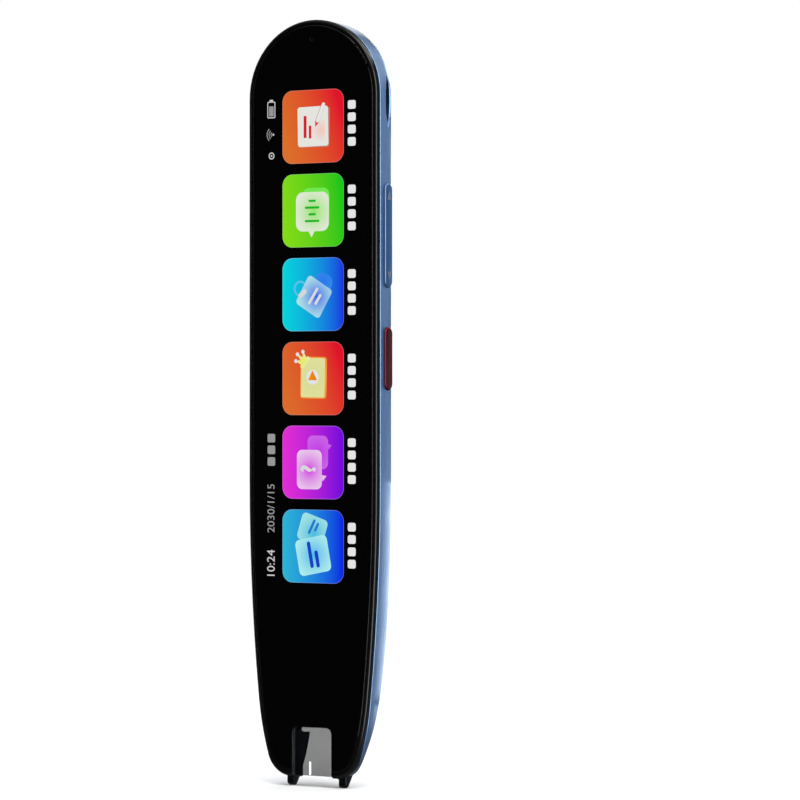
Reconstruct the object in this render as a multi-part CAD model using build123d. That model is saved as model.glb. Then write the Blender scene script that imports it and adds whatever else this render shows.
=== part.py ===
from build123d import *
import math
import os

os.makedirs("parts", exist_ok=True)

# A handheld scanning translator. All sizes are millimetres.
# Places are given as across (from the centre line, keys on the plus side), along (from the
# tail end towards the scanning tip) and depth (from the front glass towards the back).
# In the frame of the part, across is +X, depth is +Y and along runs down -Z.

# ---- driving dimensions: the body -------------------------------------------------------
OVERALL_LENGTH = 160.0  # tail end to the ends of the scanning cheeks
CHEEK_REACH = 2.0  # how far the cheeks stand out past the body's end
WIDTH = 32.0
CROWN_DEPTH = 12.0  # front glass to the highest line of the moulded back
SPEAKER_TRIM_DEPTH = 13.5  # front glass to the face of the speaker trim
SHELL_FRONT = 1.5  # depth at which the back shell meets the front frame
SHELL_WALL = 1.2

SIDE_LEAN = 3.0  # degrees that the moulded sides lean in towards the back
SHELL_EDGE_CHAMFER = 0.2

TAPER_RUN = 62.0  # the last stretch of the body, in which the sides draw together
TAPER_RADIUS = 446.0
TIP_TURN_RUN = 16.0  # the stretch before the end in which the taper turns more sharply
TIP_CORNER_RADIUS = 6.0
TIP_NARROWING = 21.0  # the body's width less the straight end of its tip

CREASE_DEPTH = 6.1  # the sharp line along each side, front glass to crease
CREASE_RADIUS = 0.35
CREASE_FALL_RUN = 38.0  # the stretch before the end in which the crease comes forward
CREASE_FALL = 4.4
CREASE_FALL_POWER = 2.85
CROWN_FALL_RUN = 33.0
CROWN_FALL = 6.5
CROWN_FALL_POWER = 3.0
SHOULDER_ANGLE = 68.0  # slope where the shoulder leaves the side
CROWN_ANGLE = 20.0  # slope where the shoulder arc meets the crown arc
ROOF_OVERHANG = 0.6  # the crowned form runs past the side walls before they are cut
TIP_SHARES = (0, 0.13, 0.26, 0.39, 0.52, 0.63, 0.73, 0.81, 0.87, 0.94, 1.0, 1.05)

# ---- driving dimensions: front ----------------------------------------------------------
FRAME_FRONT = 0.1
FRAME_RIM = 0.87
FRAME_EDGE_RADIUS = 0.7
GLASS_THICKNESS = 0.8
GLASS_EDGE_RADIUS = 0.6
GLUE_GAP = 0.1
FIT_GAP = 0.05  # between pieces glued or pressed into each other
TRAY_FRONT = 2.3
TRAY_BACK = 3.0
DISPLAY_SIDE_MARGIN = 3.0
DISPLAY_START = 12.5
DISPLAY_END_MARGIN = 37.5  # the display's end to the body's end
DISPLAY_THICKNESS = 1.25
DISPLAY_CORNER_RADIUS = 0.6
MICROPHONE_ALONG = 4.1
MICROPHONE_HOLE_RADIUS = 0.35
MICROPHONE_SIZE = (3.0, 2.0, 0.9)

# ---- driving dimensions: speaker --------------------------------------------------------
TRIM_WIDTH = 14.2
TRIM_LENGTH = 41.4
TRIM_START = 10.5
TRIM_RIM = 0.75
TRIM_CORNER_RADIUS = 2.9
TRIM_PROUD = 0.2
PEDESTAL_MARGIN = 0.6
PEDESTAL_DRAFT = 9.0
PEDESTAL_EDGE_RADIUS = 0.25
PEDESTAL_FOOT_RADIUS = 0.7
PLATE_THICKNESS = 0.9
PLATE_SET_BACK = 0.1
SOUND_HOLE_RADIUS = 0.42
SOUND_HOLES = 5
SOUND_PITCH_ACROSS = 2.24
SOUND_PITCH_ALONG = 2.4
SOUND_START = 14.9
SOUND_WINDOW_MARGIN = 1.0
MESH_THICKNESS = 0.1
SPEAKER_WIDTH = 11.0
SPEAKER_LENGTH = 15.0
SPEAKER_THICKNESS = 3.0
SPEAKER_CORNER_RADIUS = 0.8
SPEAKER_CONE_MARGIN = 1.5
SPEAKER_CONE_DEPTH = 0.5
GASKET_THICKNESS = 0.4
GASKET_RIM = 0.9

# ---- driving dimensions: board, battery, socket ------------------------------------------
BOARD_FRONT = 6.4
BOARD_THICKNESS = 0.8
BOARD_MARGIN = 3.4
BOARD_END = 62.0
BOARD_KEY_MARGIN = 5.4  # the board's straight edge on the keys' side to the body's side
USB_WIDTH = 8.94
USB_HEIGHT = 3.2
USB_LENGTH = 7.3
USB_WALL = 0.3
USB_DEPTH = 4.8
USB_OPENING_GAP = 0.15
USB_SET_BACK = 1.25
USB_TONGUE = (6.7, 0.7)
USB_TONGUE_SET_BACK = 1.0
SHIELD_SIZE = (15.0, 16.0, 1.6)
SHIELD_START = 20.0
SHIELD_CORNER_RADIUS = 0.6
CHIP_SIZES = ((6.0, 8.0, 1.0), (5.0, 5.0, 0.9), (3.2, 2.5, 0.7))
CHIP_PLACES = ((-6.0, 3.5), (1.5, 2.5), (7.0, 2.0))  # across, and along from the shield's end
BOSS_RADIUS = 1.6
SCREW_RADIUS = 0.7
SCREW_HEAD_RADIUS = 1.3
SCREW_HEAD_HEIGHT = 0.6
SCREW_LENGTH = 2.4
SCREW_SOCKET_RADIUS = 0.6
SCREW_FIT = 0.02
BOARD_SCREW_START = 12.8
BOARD_SCREW_END_MARGIN = 5.0
BATTERY_GAP = 3.0  # between the board and the battery
BATTERY_END_GAP = 4.5  # between the battery and the feet of the scan bracket
BATTERY_SIDE_GAP = 0.4
BATTERY_THICKNESS = 5.2
BATTERY_CORNER_RADIUS = 1.5
BATTERY_EDGE_CHAMFER = 0.8
TAPE_THICKNESS = 0.2
TAPE_MARGIN = 1.8
ANTENNA_SIZE = (0.15, 22.0, 2.2)
ANTENNA_START = 30.0
FLEX_THICKNESS = 0.15
FLEX_BEND_RADIUS = 0.4
DISPLAY_FLEX_WIDTH = 9.0
DISPLAY_FLEX_LAP = 1.2  # how far the flat cable lies under the display
DISPLAY_FLEX_BEND = 0.8  # how far it stands off before it turns back
DISPLAY_FLEX_BOARD_LAP = 3.5
CAMERA_FLEX_WIDTH = 5.0
CAMERA_FLEX_DROP = 1.5  # where it starts down to the board, before the board's end
CAMERA_FLEX_LANDING = 1.0
CAMERA_FLEX_BOARD_LAP = 5.0

# ---- driving dimensions: side keys --------------------------------------------------------
KEY_DEPTH = 4.8
KEY_WIDTH = 2.8
KEY_PROUD = 0.15
KEY_REACH_IN = 2.1  # the body's side to the inner faces of the keys
KEY_CLEARANCE = 0.12
KEY_EDGE_RADIUS = 0.25
KEY_FLANGE_STEP = 0.35
ROCKER_START = 34.4
ROCKER_LENGTH = 21.6
ROCKER_FLANGE_LENGTH = 7.0
ROCKER_FLANGE_GAP = 0.35
ROCKER_SWITCH_INSET = 4.0
RED_KEY_START = 64.2
RED_KEY_LENGTH = 13.1
RED_KEY_FLANGE_GAP = 0.3
RED_KEY_TRAVEL = 0.35
ROCKER_ANGLE = 1.8  # how far the rocker tilts each way, degrees
KEY_BOARD_ROOM = 2.0  # the inner faces of the keys to the bracket behind the key board
KEY_BOARD_THICKNESS = 0.6
KEY_BOARD_MARGIN = 1.5  # how far the key board runs past the keys' ends
KEY_BOARD_HEIGHT = 2.5
KEY_RIB = (1.0, 1.5)  # the rib that the rocker turns on, along and through the depth
KEY_RIB_GAP = 0.2
KEY_BRACKET_WALL = 0.7
KEY_BRACKET_FOOT = 1.6
SWITCH_SIZE = (0.8, 3.0, 2.4)
SWITCH_PLUNGER_RADIUS = 0.6
SWITCH_GAP = 0.04

# ---- driving dimensions: lanyard eye ------------------------------------------------------
EYE_START = 11.7
EYE_LENGTH = 12.0
EYE_OVAL_LENGTH = 11.0
EYE_OVAL_WIDTH = 1.8
EYE_SLOT_WIDTH = 1.0
EYE_BAR = 0.6
EYE_BAR_THICKNESS = 1.4
EYE_CAVITY_DEPTH = 2.9
EYE_WALL = 1.0
EYE_FLARE = 0.22  # how far the oval's edge is broken

# ---- driving dimensions: scanning tip -----------------------------------------------------
ARCH_LENGTH = 19.5  # the top of the arch to the body's end
ARCH_HALF_WIDTH = 6.25
ARCH_CORNER_RADIUS = 4.2
ARCH_FOOT_LENGTH = 10.7  # the lower part of the arch, wide enough for the cheeks
CHEEK_SIDE_GAP = 0.15
WINDOW_LENGTH = 10.0
WINDOW_SET_BACK = 0.4  # the window's lower edge to the body's end
WINDOW_HALF_WIDTH = 4.9
WINDOW_THICKNESS = 1.4
WINDOW_CORNER_RADIUS = 1.3
HOOD_GAP = 0.1
HOOD_WALL = 0.8
HOOD_SET_BACK = 0.3
HOOD_FRONT = 3.3
SLOPE_TOP = (1.7, 10.6)  # the dark cover's upper end: along from the arch's top, and depth
SLOPE_FOOT = (8.5, 3.3)
COVER_THICKNESS = 0.8
COVER_MARGIN = 0.9
TIP_TRAVEL = 1.0
CHEEK_INNER = 5.65
CHEEK_THICKNESS = 1.85
CHEEK_FRONT = 1.75
CHEEK_TOP_GAP = 0.3  # left above the cheeks when the tip is pressed in
CHEEK_TOP_SLOPE = 0.7
CHEEK_TOP_DEPTH = 8.2
CHEEK_MID = (5.0, 6.2)  # a point of the cheek's back: along from its end, and depth
CHEEK_NOSE_RADIUS = 0.75
CHEEK_NOSE_ANGLES = (-20, 35)  # degrees round the nose
CHEEK_EDGE_RADIUS = 0.6
CHEEK_FLANGE = 0.5
CHEEK_FLANGE_SHORT = 1.7  # the ledge stops this far before the cheek's end
CHEEK_FLANGE_DEPTH = 4.8
CHEEK_FLANGE_RADIUS = 0.6
ARM_THICKNESS = 0.8
ARM_DEPTHS = (3.2, 4.7)
BRIDGE_RUN = 4.1  # the bridge's tail side to the arch's top
BRIDGE_LENGTH = 2.4
BRACKET_RUN = 9.5  # the bracket's tail side to the arch's top
BRACKET_THICKNESS = 1.2
BRACKET_HALF_WIDTH = 9.5
BRACKET_FOOT_LENGTH = 6.5
BRACKET_FOOT_THICKNESS = 1.0
SPRING_RADIUS = 0.65
SPRING_WIRE = 0.25
SPRING_TURNS = 4
SPRING_ACROSS = 5.4
TIP_SWITCH_SIZE = (3.0, 1.6, 1.2)
TIP_SWITCH_GAP = 0.15
CAMERA_DEPTH = 7.3
CAMERA_RADIUS = 2.1
CAMERA_BASE = 5.6
CAMERA_BASE_LENGTH = 2.0
CAMERA_BOARD_THICKNESS = 0.8
CAMERA_PUPIL_RADIUS = 1.0
LED_BOARD_THICKNESS = 0.8
LED_SIZE = (1.6, 0.6, 1.2)
LED_ACROSS = 3.9
LED_BOARD_HEIGHT = 4.8
TUNNEL_MARGIN = 0.3

# ---- places that follow from them ---------------------------------------------------------
HALF_LENGTH = OVERALL_LENGTH / 2
HALF_THICKNESS = SPEAKER_TRIM_DEPTH / 2
HALF_WIDTH = WIDTH / 2
BEYOND = 3.0  # how far cutters run past what they cut

BODY_LENGTH = OVERALL_LENGTH - CHEEK_REACH
TAPER_START = BODY_LENGTH - TAPER_RUN
TIP_TURN_START = BODY_LENGTH - TIP_TURN_RUN
TIP_FLAT_WIDTH = WIDTH - TIP_NARROWING
CREASE_FALL_START = BODY_LENGTH - CREASE_FALL_RUN
CROWN_FALL_START = BODY_LENGTH - CROWN_FALL_RUN
DISPLAY_WIDTH = WIDTH - 2 * DISPLAY_SIDE_MARGIN
DISPLAY_END = BODY_LENGTH - DISPLAY_END_MARGIN

ARCH_START = BODY_LENGTH - ARCH_LENGTH
ARCH_FOOT_START = BODY_LENGTH - ARCH_FOOT_LENGTH
ARCH_FOOT_HALF_WIDTH = CHEEK_INNER + CHEEK_THICKNESS + CHEEK_SIDE_GAP
WINDOW_END = BODY_LENGTH - WINDOW_SET_BACK
WINDOW_START = WINDOW_END - WINDOW_LENGTH
CHEEK_TOP = ARCH_FOOT_START + TIP_TRAVEL + CHEEK_TOP_GAP
CHEEK_FLANGE_END = OVERALL_LENGTH - CHEEK_FLANGE_SHORT
BRIDGE_START = ARCH_START - BRIDGE_RUN
BRACKET_START = ARCH_START - BRACKET_RUN

ROCKER_CENTRE = ROCKER_START + ROCKER_LENGTH / 2
RED_KEY_CENTRE = RED_KEY_START + RED_KEY_LENGTH / 2
KEY_BACK = HALF_WIDTH - KEY_REACH_IN
KEY_BOARD_FRONT = KEY_BACK - KEY_BOARD_ROOM
KEY_BOARD_START = ROCKER_START - KEY_BOARD_MARGIN
KEY_BOARD_END = RED_KEY_START + RED_KEY_LENGTH + KEY_BOARD_MARGIN
KEY_BRACKET_INNER = KEY_BOARD_FRONT - KEY_BRACKET_WALL - KEY_BRACKET_FOOT / 2

BOARD_BACK = BOARD_FRONT + BOARD_THICKNESS
BOARD_SCREW_ACROSS = KEY_BRACKET_INNER - BOSS_RADIUS - KEY_RIB_GAP
BATTERY_START = BOARD_END + BATTERY_GAP
BATTERY_END = BRACKET_START - BRACKET_FOOT_LENGTH - BATTERY_END_GAP
BATTERY_WIDTH = 2 * (KEY_BRACKET_INNER - BATTERY_SIDE_GAP)


# ---- placing and extruding ----------------------------------------------------------------
def spot(across, along, depth):
    """A point of the frame from its three distances."""
    return Vector(across, depth - HALF_THICKNESS, HALF_LENGTH - along)


def plan(sketch, near, far):
    """A sketch of (across, along), made solid between two depths."""
    plane = Plane(origin=spot(0, 0, near), x_dir=(1, 0, 0), z_dir=(0, 1, 0))
    return extrude(plane * sketch, amount=far - near, dir=(0, 1, 0))


def side(sketch, left, right):
    """A sketch of (along, depth), made solid between two distances across."""
    plane = Plane(origin=spot(left, 0, 0), x_dir=(0, 0, -1), z_dir=(1, 0, 0))
    return extrude(plane * sketch, amount=right - left, dir=(1, 0, 0))


def cross(sketch, start, end):
    """A sketch of (across, depth), made solid between two distances along."""
    plane = Plane(origin=spot(0, start, 0), x_dir=(1, 0, 0), z_dir=(0, 0, 1))
    return extrude(plane * sketch, amount=end - start, dir=(0, 0, -1))


def span(low, high):
    """Centre and length of a range."""
    return (low + high) / 2, high - low


def slab(across, along, depth):
    """A block between pairs of distances."""
    x, width = span(*across)
    s, length = span(*along)
    return plan(Pos(x, s) * Rectangle(width, length), *depth)


def tablet(width, start, length, radius, near, far):
    """A round-cornered plate on the centre line."""
    outline = Pos(0, start + length / 2) * RectangleRounded(width, length, radius)
    return plan(outline, near, far)


def rod(across, depth, radius, start, end):
    """A round bar that runs along the body."""
    return cross(Pos(across, depth) * Circle(radius), start, end)


def post(across, along, radius, near, far):
    """A round bar that runs through the thickness."""
    return plan(Pos(across, along) * Circle(radius), near, far)


# ---- the body's form ----------------------------------------------------------------------
TAPER_ANGLE = math.degrees(math.asin((TIP_TURN_START - TAPER_START) / TAPER_RADIUS))


def tip_turn():
    """Centre, radius and end angle of the arc that joins the taper to the tip's corner."""
    a = math.radians(TAPER_ANGLE)
    start = (
        HALF_WIDTH - TAPER_RADIUS * (1 - math.cos(a)),
        TIP_TURN_START,
    )
    corner = (TIP_FLAT_WIDTH / 2, BODY_LENGTH - TIP_CORNER_RADIUS)
    gap = (start[0] - corner[0], start[1] - corner[1])
    toward = -gap[0] * math.cos(a) - gap[1] * math.sin(a)
    squared = gap[0] ** 2 + gap[1] ** 2
    radius = (squared - TIP_CORNER_RADIUS**2) / (-2 * (toward + TIP_CORNER_RADIUS))
    centre = (start[0] - radius * math.cos(a), start[1] - radius * math.sin(a))
    angle = math.degrees(math.atan2(corner[1] - centre[1], corner[0] - centre[0]))
    return centre, radius, angle


def arc(centre, radius, start, end, sign=1):
    """An arc about a centre between two angles in degrees, mirrored across if sign is -1."""
    points = []
    for angle in (start, (start + end) / 2, end):
        a = math.radians(angle)
        x = centre[0] + radius * math.cos(a)
        points.append((sign * x, centre[1] + radius * math.sin(a)))
    return ThreePointArc(*points)


def body_outline(inset=0.0):
    """The body in front view, with its edge moved in by inset."""
    turn_centre, turn_radius, turn_angle = tip_turn()
    head = HALF_WIDTH - inset
    flat = TIP_FLAT_WIDTH / 2
    corner = (flat, BODY_LENGTH - TIP_CORNER_RADIUS)
    end = BODY_LENGTH - inset
    edges = [ThreePointArc((-head, HALF_WIDTH), (0, inset), (head, HALF_WIDTH))]
    for sign in (1, -1):
        edges.append(Line((sign * head, HALF_WIDTH), (sign * head, TAPER_START)))
        taper_centre = (HALF_WIDTH - TAPER_RADIUS, TAPER_START)
        edges.append(arc(taper_centre, TAPER_RADIUS - inset, 0, TAPER_ANGLE, sign))
        edges.append(arc(turn_centre, turn_radius - inset, TAPER_ANGLE, turn_angle, sign))
        edges.append(arc(corner, TIP_CORNER_RADIUS - inset, turn_angle, 90, sign))
    edges.append(Line((-flat, end), (flat, end)))
    return make_face(edges)


def half_width(along):
    """Half of the body's width at a distance along, without the tip's corners."""
    if along <= TAPER_START:
        return HALF_WIDTH
    if along <= TIP_TURN_START:
        rise = along - TAPER_START
        return HALF_WIDTH - TAPER_RADIUS + math.sqrt(TAPER_RADIUS**2 - rise**2)
    centre, radius, _ = tip_turn()
    return centre[0] + math.sqrt(radius**2 - (along - centre[1]) ** 2)


def fall(along, start, amount, power, end):
    """A depth that falls away smoothly towards the tip."""
    run = max(along - start, 0) / (end - start)
    return amount * run**power


def crease_depth(along):
    """Depth of the line along the side at a distance along."""
    drop = fall(along, CREASE_FALL_START, CREASE_FALL, CREASE_FALL_POWER, BODY_LENGTH)
    return CREASE_DEPTH - drop


def crown_depth(along):
    """Depth of the back's highest line at a distance along."""
    drop = fall(along, CROWN_FALL_START, CROWN_FALL, CROWN_FALL_POWER, BODY_LENGTH)
    return CROWN_DEPTH - drop


def roof_arcs(along, inset):
    """Points of the crowned back's section: low corner, shoulder start, middle and end, crown."""
    steep, gentle = math.radians(SHOULDER_ANGLE), math.radians(CROWN_ANGLE)
    width = half_width(along) + ROOF_OVERHANG - inset
    low = crease_depth(along) - ROOF_OVERHANG * math.tan(steep)
    top = crown_depth(along) - inset
    rise = top - low
    lean = math.tan(gentle / 2)
    turn = math.sin(steep) - math.sin(gentle)
    shoulder = (rise - width * lean) / (math.cos(gentle) - math.cos(steep) - turn * lean)
    middle = (steep + gentle) / 2

    def on_shoulder(angle):
        return (
            width - shoulder * (math.sin(steep) - math.sin(angle)),
            low + shoulder * (math.cos(angle) - math.cos(steep)),
        )

    return (width, low), on_shoulder(middle), on_shoulder(gentle), (0, top)


def mirrored(point):
    """The same point on the other side of the centre line."""
    return (-point[0], point[1])


def roof_section(along, inset):
    """The crowned back's whole section, down to well in front of the body."""
    start, middle, end, crown = roof_arcs(along, inset)
    foot = (start[0], -BEYOND)
    edges = [
        Line(mirrored(foot), foot),
        Line(foot, start),
        ThreePointArc(start, middle, end),
        ThreePointArc(end, crown, mirrored(end)),
        ThreePointArc(mirrored(end), mirrored(middle), mirrored(start)),
        Line(mirrored(start), mirrored(foot)),
    ]
    plane = Plane(origin=spot(0, along, 0), x_dir=(1, 0, 0), z_dir=(0, 0, 1))
    return plane * make_face(edges)


def roof_head(inset):
    """The domed tail end: the section turned about the middle of the head."""
    start, middle, end, crown = roof_arcs(HALF_WIDTH, inset)
    foot = (start[0], -BEYOND)
    chord = math.hypot(end[0], crown[1] - end[1]) / 2
    radius = chord / math.sin(math.radians(CROWN_ANGLE / 2))
    halfway = math.radians(CROWN_ANGLE / 2)
    crown_middle = (radius * math.sin(halfway), crown[1] - radius * (1 - math.cos(halfway)))
    edges = [
        Line((0, -BEYOND), foot),
        Line(foot, start),
        ThreePointArc(start, middle, end),
        ThreePointArc(end, crown_middle, crown),
        Line(crown, (0, -BEYOND)),
    ]
    plane = Plane(origin=spot(0, HALF_WIDTH, 0), x_dir=(1, 0, 0), z_dir=(0, 0, 1))
    axis = Axis(spot(0, HALF_WIDTH, 0), (0, 1, 0))
    return revolve(plane * make_face(edges), axis, 360)


def roof(inset):
    """Everything under the crowned back."""
    section = roof_section(TAPER_START, inset)
    straight = extrude(section, amount=TAPER_START - HALF_WIDTH, dir=(0, 0, 1))
    stations = [TAPER_START + TAPER_RUN * share for share in TIP_SHARES]
    tip = loft([roof_section(along, inset) for along in stations])
    return roof_head(inset) + straight + tip


def body_form(inset, near):
    """The whole body, moved in by inset, from a given depth back."""
    return plan(body_outline(inset), near, CROWN_DEPTH + BEYOND) & roof(inset)


def arch_outline(gap=0.0, end=BODY_LENGTH + BEYOND, foot=True):
    """The opening at the tip in plan, moved in by gap; the foot is its wide lower part."""
    half = ARCH_HALF_WIDTH - gap
    start = ARCH_START + gap
    length = end - start
    radius = ARCH_CORNER_RADIUS - gap
    top = Pos(0, start + length / 2) * RectangleRounded(2 * half, length, radius)
    lower = Pos(0, start + radius + (end - start - radius) / 2) * Rectangle(
        2 * half, end - start - radius
    )
    outline = top + lower
    if foot:
        low = ARCH_FOOT_START + gap
        outline += Pos(0, (low + end) / 2) * Rectangle(
            2 * (ARCH_FOOT_HALF_WIDTH - gap), end - low
        )
    return outline


# ---- back shell -----------------------------------------------------------------------------
PEDESTAL_TOP = SPEAKER_TRIM_DEPTH - TRIM_PROUD
TRIM_CENTRE = TRIM_START + TRIM_LENGTH / 2
POCKET_FLOOR = SPEAKER_TRIM_DEPTH - TRIM_PROUD - PLATE_THICKNESS
SOUND_CENTRE = SOUND_START + SOUND_PITCH_ALONG * (SOUND_HOLES - 1) / 2
SPEAKER_TOP = POCKET_FLOOR - SHELL_WALL / 2 - GASKET_THICKNESS
SPEAKER_BACK = SPEAKER_TOP - SPEAKER_THICKNESS


def pedestal():
    """The raised seat of the speaker trim, with drafted flanks."""
    height = PEDESTAL_TOP - CREASE_DEPTH - SHELL_WALL * 3
    spread = height * math.tan(math.radians(PEDESTAL_DRAFT))
    faces = []
    for depth, grow in ((PEDESTAL_TOP, 0), (PEDESTAL_TOP - height, spread)):
        margin = PEDESTAL_MARGIN + grow
        outline = RectangleRounded(
            TRIM_WIDTH + 2 * margin, TRIM_LENGTH + 2 * margin, TRIM_CORNER_RADIUS + margin
        )
        plane = Plane(origin=spot(0, TRIM_CENTRE, depth), x_dir=(1, 0, 0), z_dir=(0, 1, 0))
        faces.append(plane * outline)
    return loft(faces, ruled=True)


def leaning_sides():
    """The body's outline made solid from the front frame back, with its sides leaning in."""
    far = CROWN_DEPTH + BEYOND
    lean = (far - SHELL_FRONT) * math.tan(math.radians(SIDE_LEAN))
    faces = []
    for depth, inset in ((SHELL_FRONT, 0.0), (far, lean)):
        plane = Plane(origin=spot(0, 0, depth), x_dir=(1, 0, 0), z_dir=(0, 1, 0))
        faces.append(plane * body_outline(inset))
    return loft(faces, ruled=True)


def outer_form():
    """The outside of the back: crowned, softly creased along its sides, with the speaker's seat."""
    sides, crown = leaning_sides(), roof(0.0)
    body = sides & crown
    body = fillet(new_edges(sides, crown, combined=body), CREASE_RADIUS)
    seat = pedestal()
    form = body + seat
    form = fillet(new_edges(body, seat, combined=form), PEDESTAL_FOOT_RADIUS)
    form = fillet(form.edges().group_by(Axis.Y)[-1], PEDESTAL_EDGE_RADIUS)
    return chamfer(form.edges().group_by(Axis.Y)[0], SHELL_EDGE_CHAMFER)


def sound_window(margin, near, far):
    """The rectangle behind the speaker holes."""
    width = SOUND_PITCH_ACROSS * (SOUND_HOLES - 1) + 2 * margin
    length = SOUND_PITCH_ALONG * (SOUND_HOLES - 1) + 2 * margin
    return plan(Pos(0, SOUND_CENTRE) * Rectangle(width, length), near, far)


def key_slot(start, length, gap=0.0):
    """A pill-shaped opening for a side key, through the key side's wall."""
    outline = Pos(start + length / 2, KEY_DEPTH) * SlotOverall(
        length + 2 * gap, KEY_WIDTH + 2 * gap
    )
    return side(outline, HALF_WIDTH - SHELL_WALL - BEYOND / 4, HALF_WIDTH + BEYOND)


def key_room(centre, length):
    """Room behind the key side's wall for a side key and its ledge."""
    grow = 2 * (KEY_FLANGE_STEP + KEY_CLEARANCE)
    outline = Pos(centre, KEY_DEPTH) * SlotOverall(length + grow, KEY_WIDTH + grow)
    return side(outline, KEY_BACK - RED_KEY_TRAVEL - KEY_CLEARANCE, HALF_WIDTH - SHELL_WALL)


EYE_INNER = HALF_WIDTH - EYE_BAR_THICKNESS - EYE_CAVITY_DEPTH / 2
EYE_BAR_BACK = CREASE_DEPTH + EYE_BAR / 2
EYE_OVAL_BACK = CREASE_DEPTH - EYE_BAR / 2
EYE_OVAL_FRONT = EYE_OVAL_BACK - EYE_OVAL_WIDTH


def eye_block():
    """The thick corner that closes the lanyard eye off from the inside."""
    along = (EYE_START - EYE_WALL, EYE_START + EYE_LENGTH + EYE_WALL)
    high = EYE_BAR_BACK + EYE_SLOT_WIDTH + EYE_WALL
    return slab((EYE_INNER - EYE_WALL, HALF_WIDTH), along, (TRAY_BACK + 2 * FIT_GAP, high))


def eye_oval(grow):
    """The pointed oval of the lanyard eye, grown all round."""
    middle = EYE_START + EYE_OVAL_LENGTH / 2
    waist = (EYE_OVAL_FRONT + EYE_OVAL_BACK) / 2
    tips = ((EYE_START - grow, waist), (EYE_START + EYE_OVAL_LENGTH + grow, waist))
    return make_face(
        [
            ThreePointArc(tips[0], (middle, EYE_OVAL_FRONT - grow), tips[1]),
            ThreePointArc(tips[0], (middle, EYE_OVAL_BACK + grow), tips[1]),
        ]
    )


def eye_flare():
    """The broken edge of the oval, at the place where the leaning side passes its middle."""
    lean = (EYE_OVAL_BACK - SHELL_FRONT) * math.tan(math.radians(SIDE_LEAN))
    start = HALF_WIDTH - lean - EYE_FLARE
    faces = []
    for across, grow in ((start, 0.0), (start + 2 * EYE_FLARE, 2 * EYE_FLARE)):
        plane = Plane(origin=spot(across, 0, 0), x_dir=(0, 0, -1), z_dir=(1, 0, 0))
        faces.append(plane * eye_oval(grow))
    return loft(faces, ruled=True)


def eye_cut():
    """The lanyard eye: a pointed oval hole in the side, a slot behind the crease and the way between."""
    along = (EYE_START, EYE_START + EYE_LENGTH)
    slot_back = EYE_BAR_BACK + EYE_SLOT_WIDTH
    slot = slab((EYE_INNER, HALF_WIDTH + BEYOND), along, (EYE_BAR_BACK, slot_back))
    way = slab((EYE_INNER, HALF_WIDTH - EYE_BAR_THICKNESS), along, (EYE_OVAL_FRONT, EYE_BAR_BACK))
    return slot + way + side(eye_oval(0.0), EYE_INNER, HALF_WIDTH + BEYOND) + eye_flare()


def usb_opening(gap, near, far):
    """The socket's round-ended outline between two distances along."""
    outline = Pos(0, USB_DEPTH) * SlotOverall(USB_WIDTH + 2 * gap, USB_HEIGHT + 2 * gap)
    return cross(outline, near, far)


def rear_shell():
    """The moulded, crowned back with its wall, speaker seat, key slots, eye, port and arch."""
    shell = outer_form() - body_form(SHELL_WALL, SHELL_FRONT - BEYOND)
    shell += eye_block() & body_form(SHELL_WALL / 2, SHELL_FRONT)
    pocket = RectangleRounded(
        TRIM_WIDTH + 2 * FIT_GAP, TRIM_LENGTH + 2 * FIT_GAP, TRIM_CORNER_RADIUS + FIT_GAP
    )
    shell -= plan(Pos(0, TRIM_CENTRE) * pocket, POCKET_FLOOR, SPEAKER_TRIM_DEPTH + BEYOND)
    shell -= sound_window(SOUND_WINDOW_MARGIN, POCKET_FLOOR - BEYOND, POCKET_FLOOR + BEYOND)
    room = Rectangle(SPEAKER_WIDTH + 4 * FIT_GAP, SPEAKER_LENGTH + 4 * FIT_GAP)
    shell -= plan(Pos(0, SOUND_CENTRE) * room, SPEAKER_BACK, SPEAKER_TOP + GASKET_THICKNESS)
    shell -= key_room(ROCKER_CENTRE, ROCKER_LENGTH)
    shell -= key_room(RED_KEY_CENTRE, RED_KEY_LENGTH)
    shell -= key_slot(ROCKER_START, ROCKER_LENGTH, KEY_CLEARANCE)
    shell -= key_slot(RED_KEY_START, RED_KEY_LENGTH, KEY_CLEARANCE)
    shell -= eye_cut()
    shell -= usb_opening(USB_OPENING_GAP, -BEYOND, HALF_WIDTH / 4)
    shell -= plan(arch_outline(), SHELL_FRONT - BEYOND, CROWN_DEPTH + BEYOND)
    return shell


# ---- front ------------------------------------------------------------------------------------
GLASS_BACK = GLASS_THICKNESS
DISPLAY_FRONT = GLASS_BACK + GLUE_GAP / 2


def window_outline(gap=0.0, run_out=0.0):
    """The clear window in plan, grown by gap, with round upper corners."""
    length = WINDOW_END - WINDOW_START + gap + run_out
    outline = Pos(0, WINDOW_START - gap + length / 2) * RectangleRounded(
        2 * (WINDOW_HALF_WIDTH + gap), length, WINDOW_CORNER_RADIUS
    )
    lower = length - WINDOW_CORNER_RADIUS
    foot = Pos(0, WINDOW_END + run_out - lower / 2) * Rectangle(
        2 * (WINDOW_HALF_WIDTH + gap), lower
    )
    return outline + foot


def screw_places():
    """Where the board's screws stand, across and along."""
    return [
        (across, along)
        for across in (-BOARD_SCREW_ACROSS, BOARD_SCREW_ACROSS)
        for along in (BOARD_SCREW_START, BOARD_END - BOARD_SCREW_END_MARGIN)
    ]


def bracket_screw_places():
    """Where the scan bracket's screws stand, across and along."""
    along = BRACKET_START - BRACKET_FOOT_LENGTH / 2
    across = BRACKET_HALF_WIDTH - BOSS_RADIUS
    return [(-across, along), (across, along)]


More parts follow.
